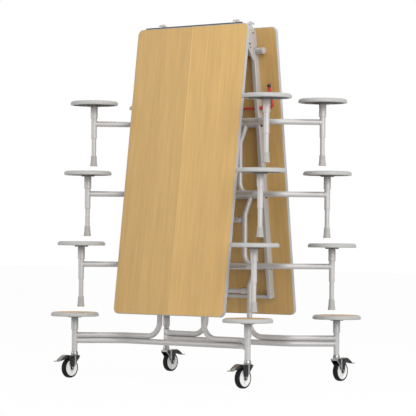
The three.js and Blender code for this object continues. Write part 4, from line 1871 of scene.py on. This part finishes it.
@dataclass
class Studio:
    """Floor, lights, white surround and the photograph's camera."""

    eye: Point = (8740.0, -10721.0, 892.0)
    yaw: float = math.radians(39.13)
    pitch: float = math.radians(-0.83)
    roll: float = math.radians(0.48)
    focal_pixels: float = 2168.0
    image_pixels: float = 416.0
    sensor: float = 36.0
    far_clip: float = 100.0
    ambient: float = 0.48
    floor_size: float = 40.0
    floor_grey: float = 0.75
    floor_white_share: float = 0.97
    lamps: tuple[Lamp, ...] = (
        Lamp("key", (-5.5, -7.0, 3.2), (0, 0, 1.0), 6.0, 175.0),
        Lamp("fill", (7.0, -3.0, 4.2), (0, 0, 1.0), 8.0, 560.0),
        Lamp("top", (0.0, 0.5, 6.0), (0, 0, 0.5), 6.0, 110.0),
    )

    def _camera(self) -> None:
        """Makes the camera at the photograph's place and angle."""
        data = bpy.data.cameras.new("photo_camera")
        data.sensor_width = self.sensor
        data.lens = self.focal_pixels * self.sensor / self.image_pixels
        data.clip_end = self.far_clip
        camera = placed("photo_camera", data)
        right = Vector((math.cos(self.yaw), math.sin(self.yaw), 0.0))
        flat = math.cos(self.pitch)
        level = (math.sin(self.yaw) * flat, -math.cos(self.yaw) * flat)
        back = Vector((*level, math.sin(self.pitch)))
        up = back.cross(right)
        rolled_right = math.cos(self.roll) * right + math.sin(self.roll) * up
        rolled_up = math.cos(self.roll) * up - math.sin(self.roll) * right
        turn = Matrix((rolled_right, rolled_up, back)).transposed().to_4x4()
        camera.matrix_world = Matrix.Translation(Vector(self.eye) * MM) @ turn
        bpy.context.scene.camera = camera

    @staticmethod
    def _seen(graph: Graph) -> Value:
        """1 for rays from the camera, and for those that mirrors and glass send on.

        Args:
            graph: the graph that takes the nodes.

        Returns:
            1 or 0.
        """
        names = ("Is Camera Ray", "Is Glossy Ray", "Is Transmission Ray")
        rays = [graph.node("ShaderNodeLightPath", {}, {}, name) for name in names]
        return (rays[0] + rays[1] + rays[2]).clamped()

    def _world(self) -> None:
        """Makes a white surround that lights the object at a plain level."""
        world = bpy.data.worlds.new("studio")
        bpy.context.scene.world = world
        world.use_nodes = True
        graph = Graph(world.node_tree)
        strength = self.ambient + self._seen(graph) * (1.0 - self.ambient)
        inputs = {"Color": (1, 1, 1, 1), "Strength": strength}
        light = graph.node("ShaderNodeBackground", {}, inputs)
        graph.node("ShaderNodeOutputWorld", {}, {"Surface": light})

    def _floor(self) -> None:
        """Makes the pale floor, which keeps the object's shadow."""
        shape = bmesh.new()
        bmesh.ops.create_grid(shape, x_segments=1, y_segments=1, size=self.floor_size)
        data = bpy.data.meshes.new("floor")
        shape.to_mesh(data)
        shape.free()
        floor = placed("floor", data)
        material = bpy.data.materials.new("pale_floor")
        material.use_nodes = True
        graph = Graph(material.node_tree)
        grey = (self.floor_grey, self.floor_grey, self.floor_grey, 1)
        matt = graph.node("ShaderNodeBsdfDiffuse", {}, {"Color": grey})
        inputs = {"Color": (1, 1, 1, 1), "Strength": 1.0}
        white = graph.node("ShaderNodeEmission", {}, inputs)
        share = self._seen(graph) * self.floor_white_share
        mixed = graph.node("ShaderNodeMixShader", {}, {0: share, 1: matt, 2: white})
        graph.node("ShaderNodeOutputMaterial", {}, {"Surface": mixed})
        data.materials.append(material)

    def build(self) -> None:
        """Makes the whole studio."""
        bpy.context.scene.view_settings.view_transform = "Standard"
        self._camera()
        self._world()
        self._floor()
        for lamp in self.lamps:
            lamp.build()


def main() -> None:
    """Builds the studio and every sub-assembly, in order."""
    logging.basicConfig(level=logging.INFO, format="%(name)s %(message)s")
    Studio().build()
    for half in Half:
        Tabletop(half).build()
        Underframe(half).build()
        LevellingLink(half).build()
        for row in range(1, LAYOUT.rows + 1):
            Carrier(half, row).build()
            for side in Side:
                Stool(half, row, side).build()
                if row < LAYOUT.rows:
                    Foot(half, row, side).build()
        for side in Side:
            Castor(half, side).build()
    CentreHinge().build()
    FoldLock().build()


if __name__ == "__main__":
    main()
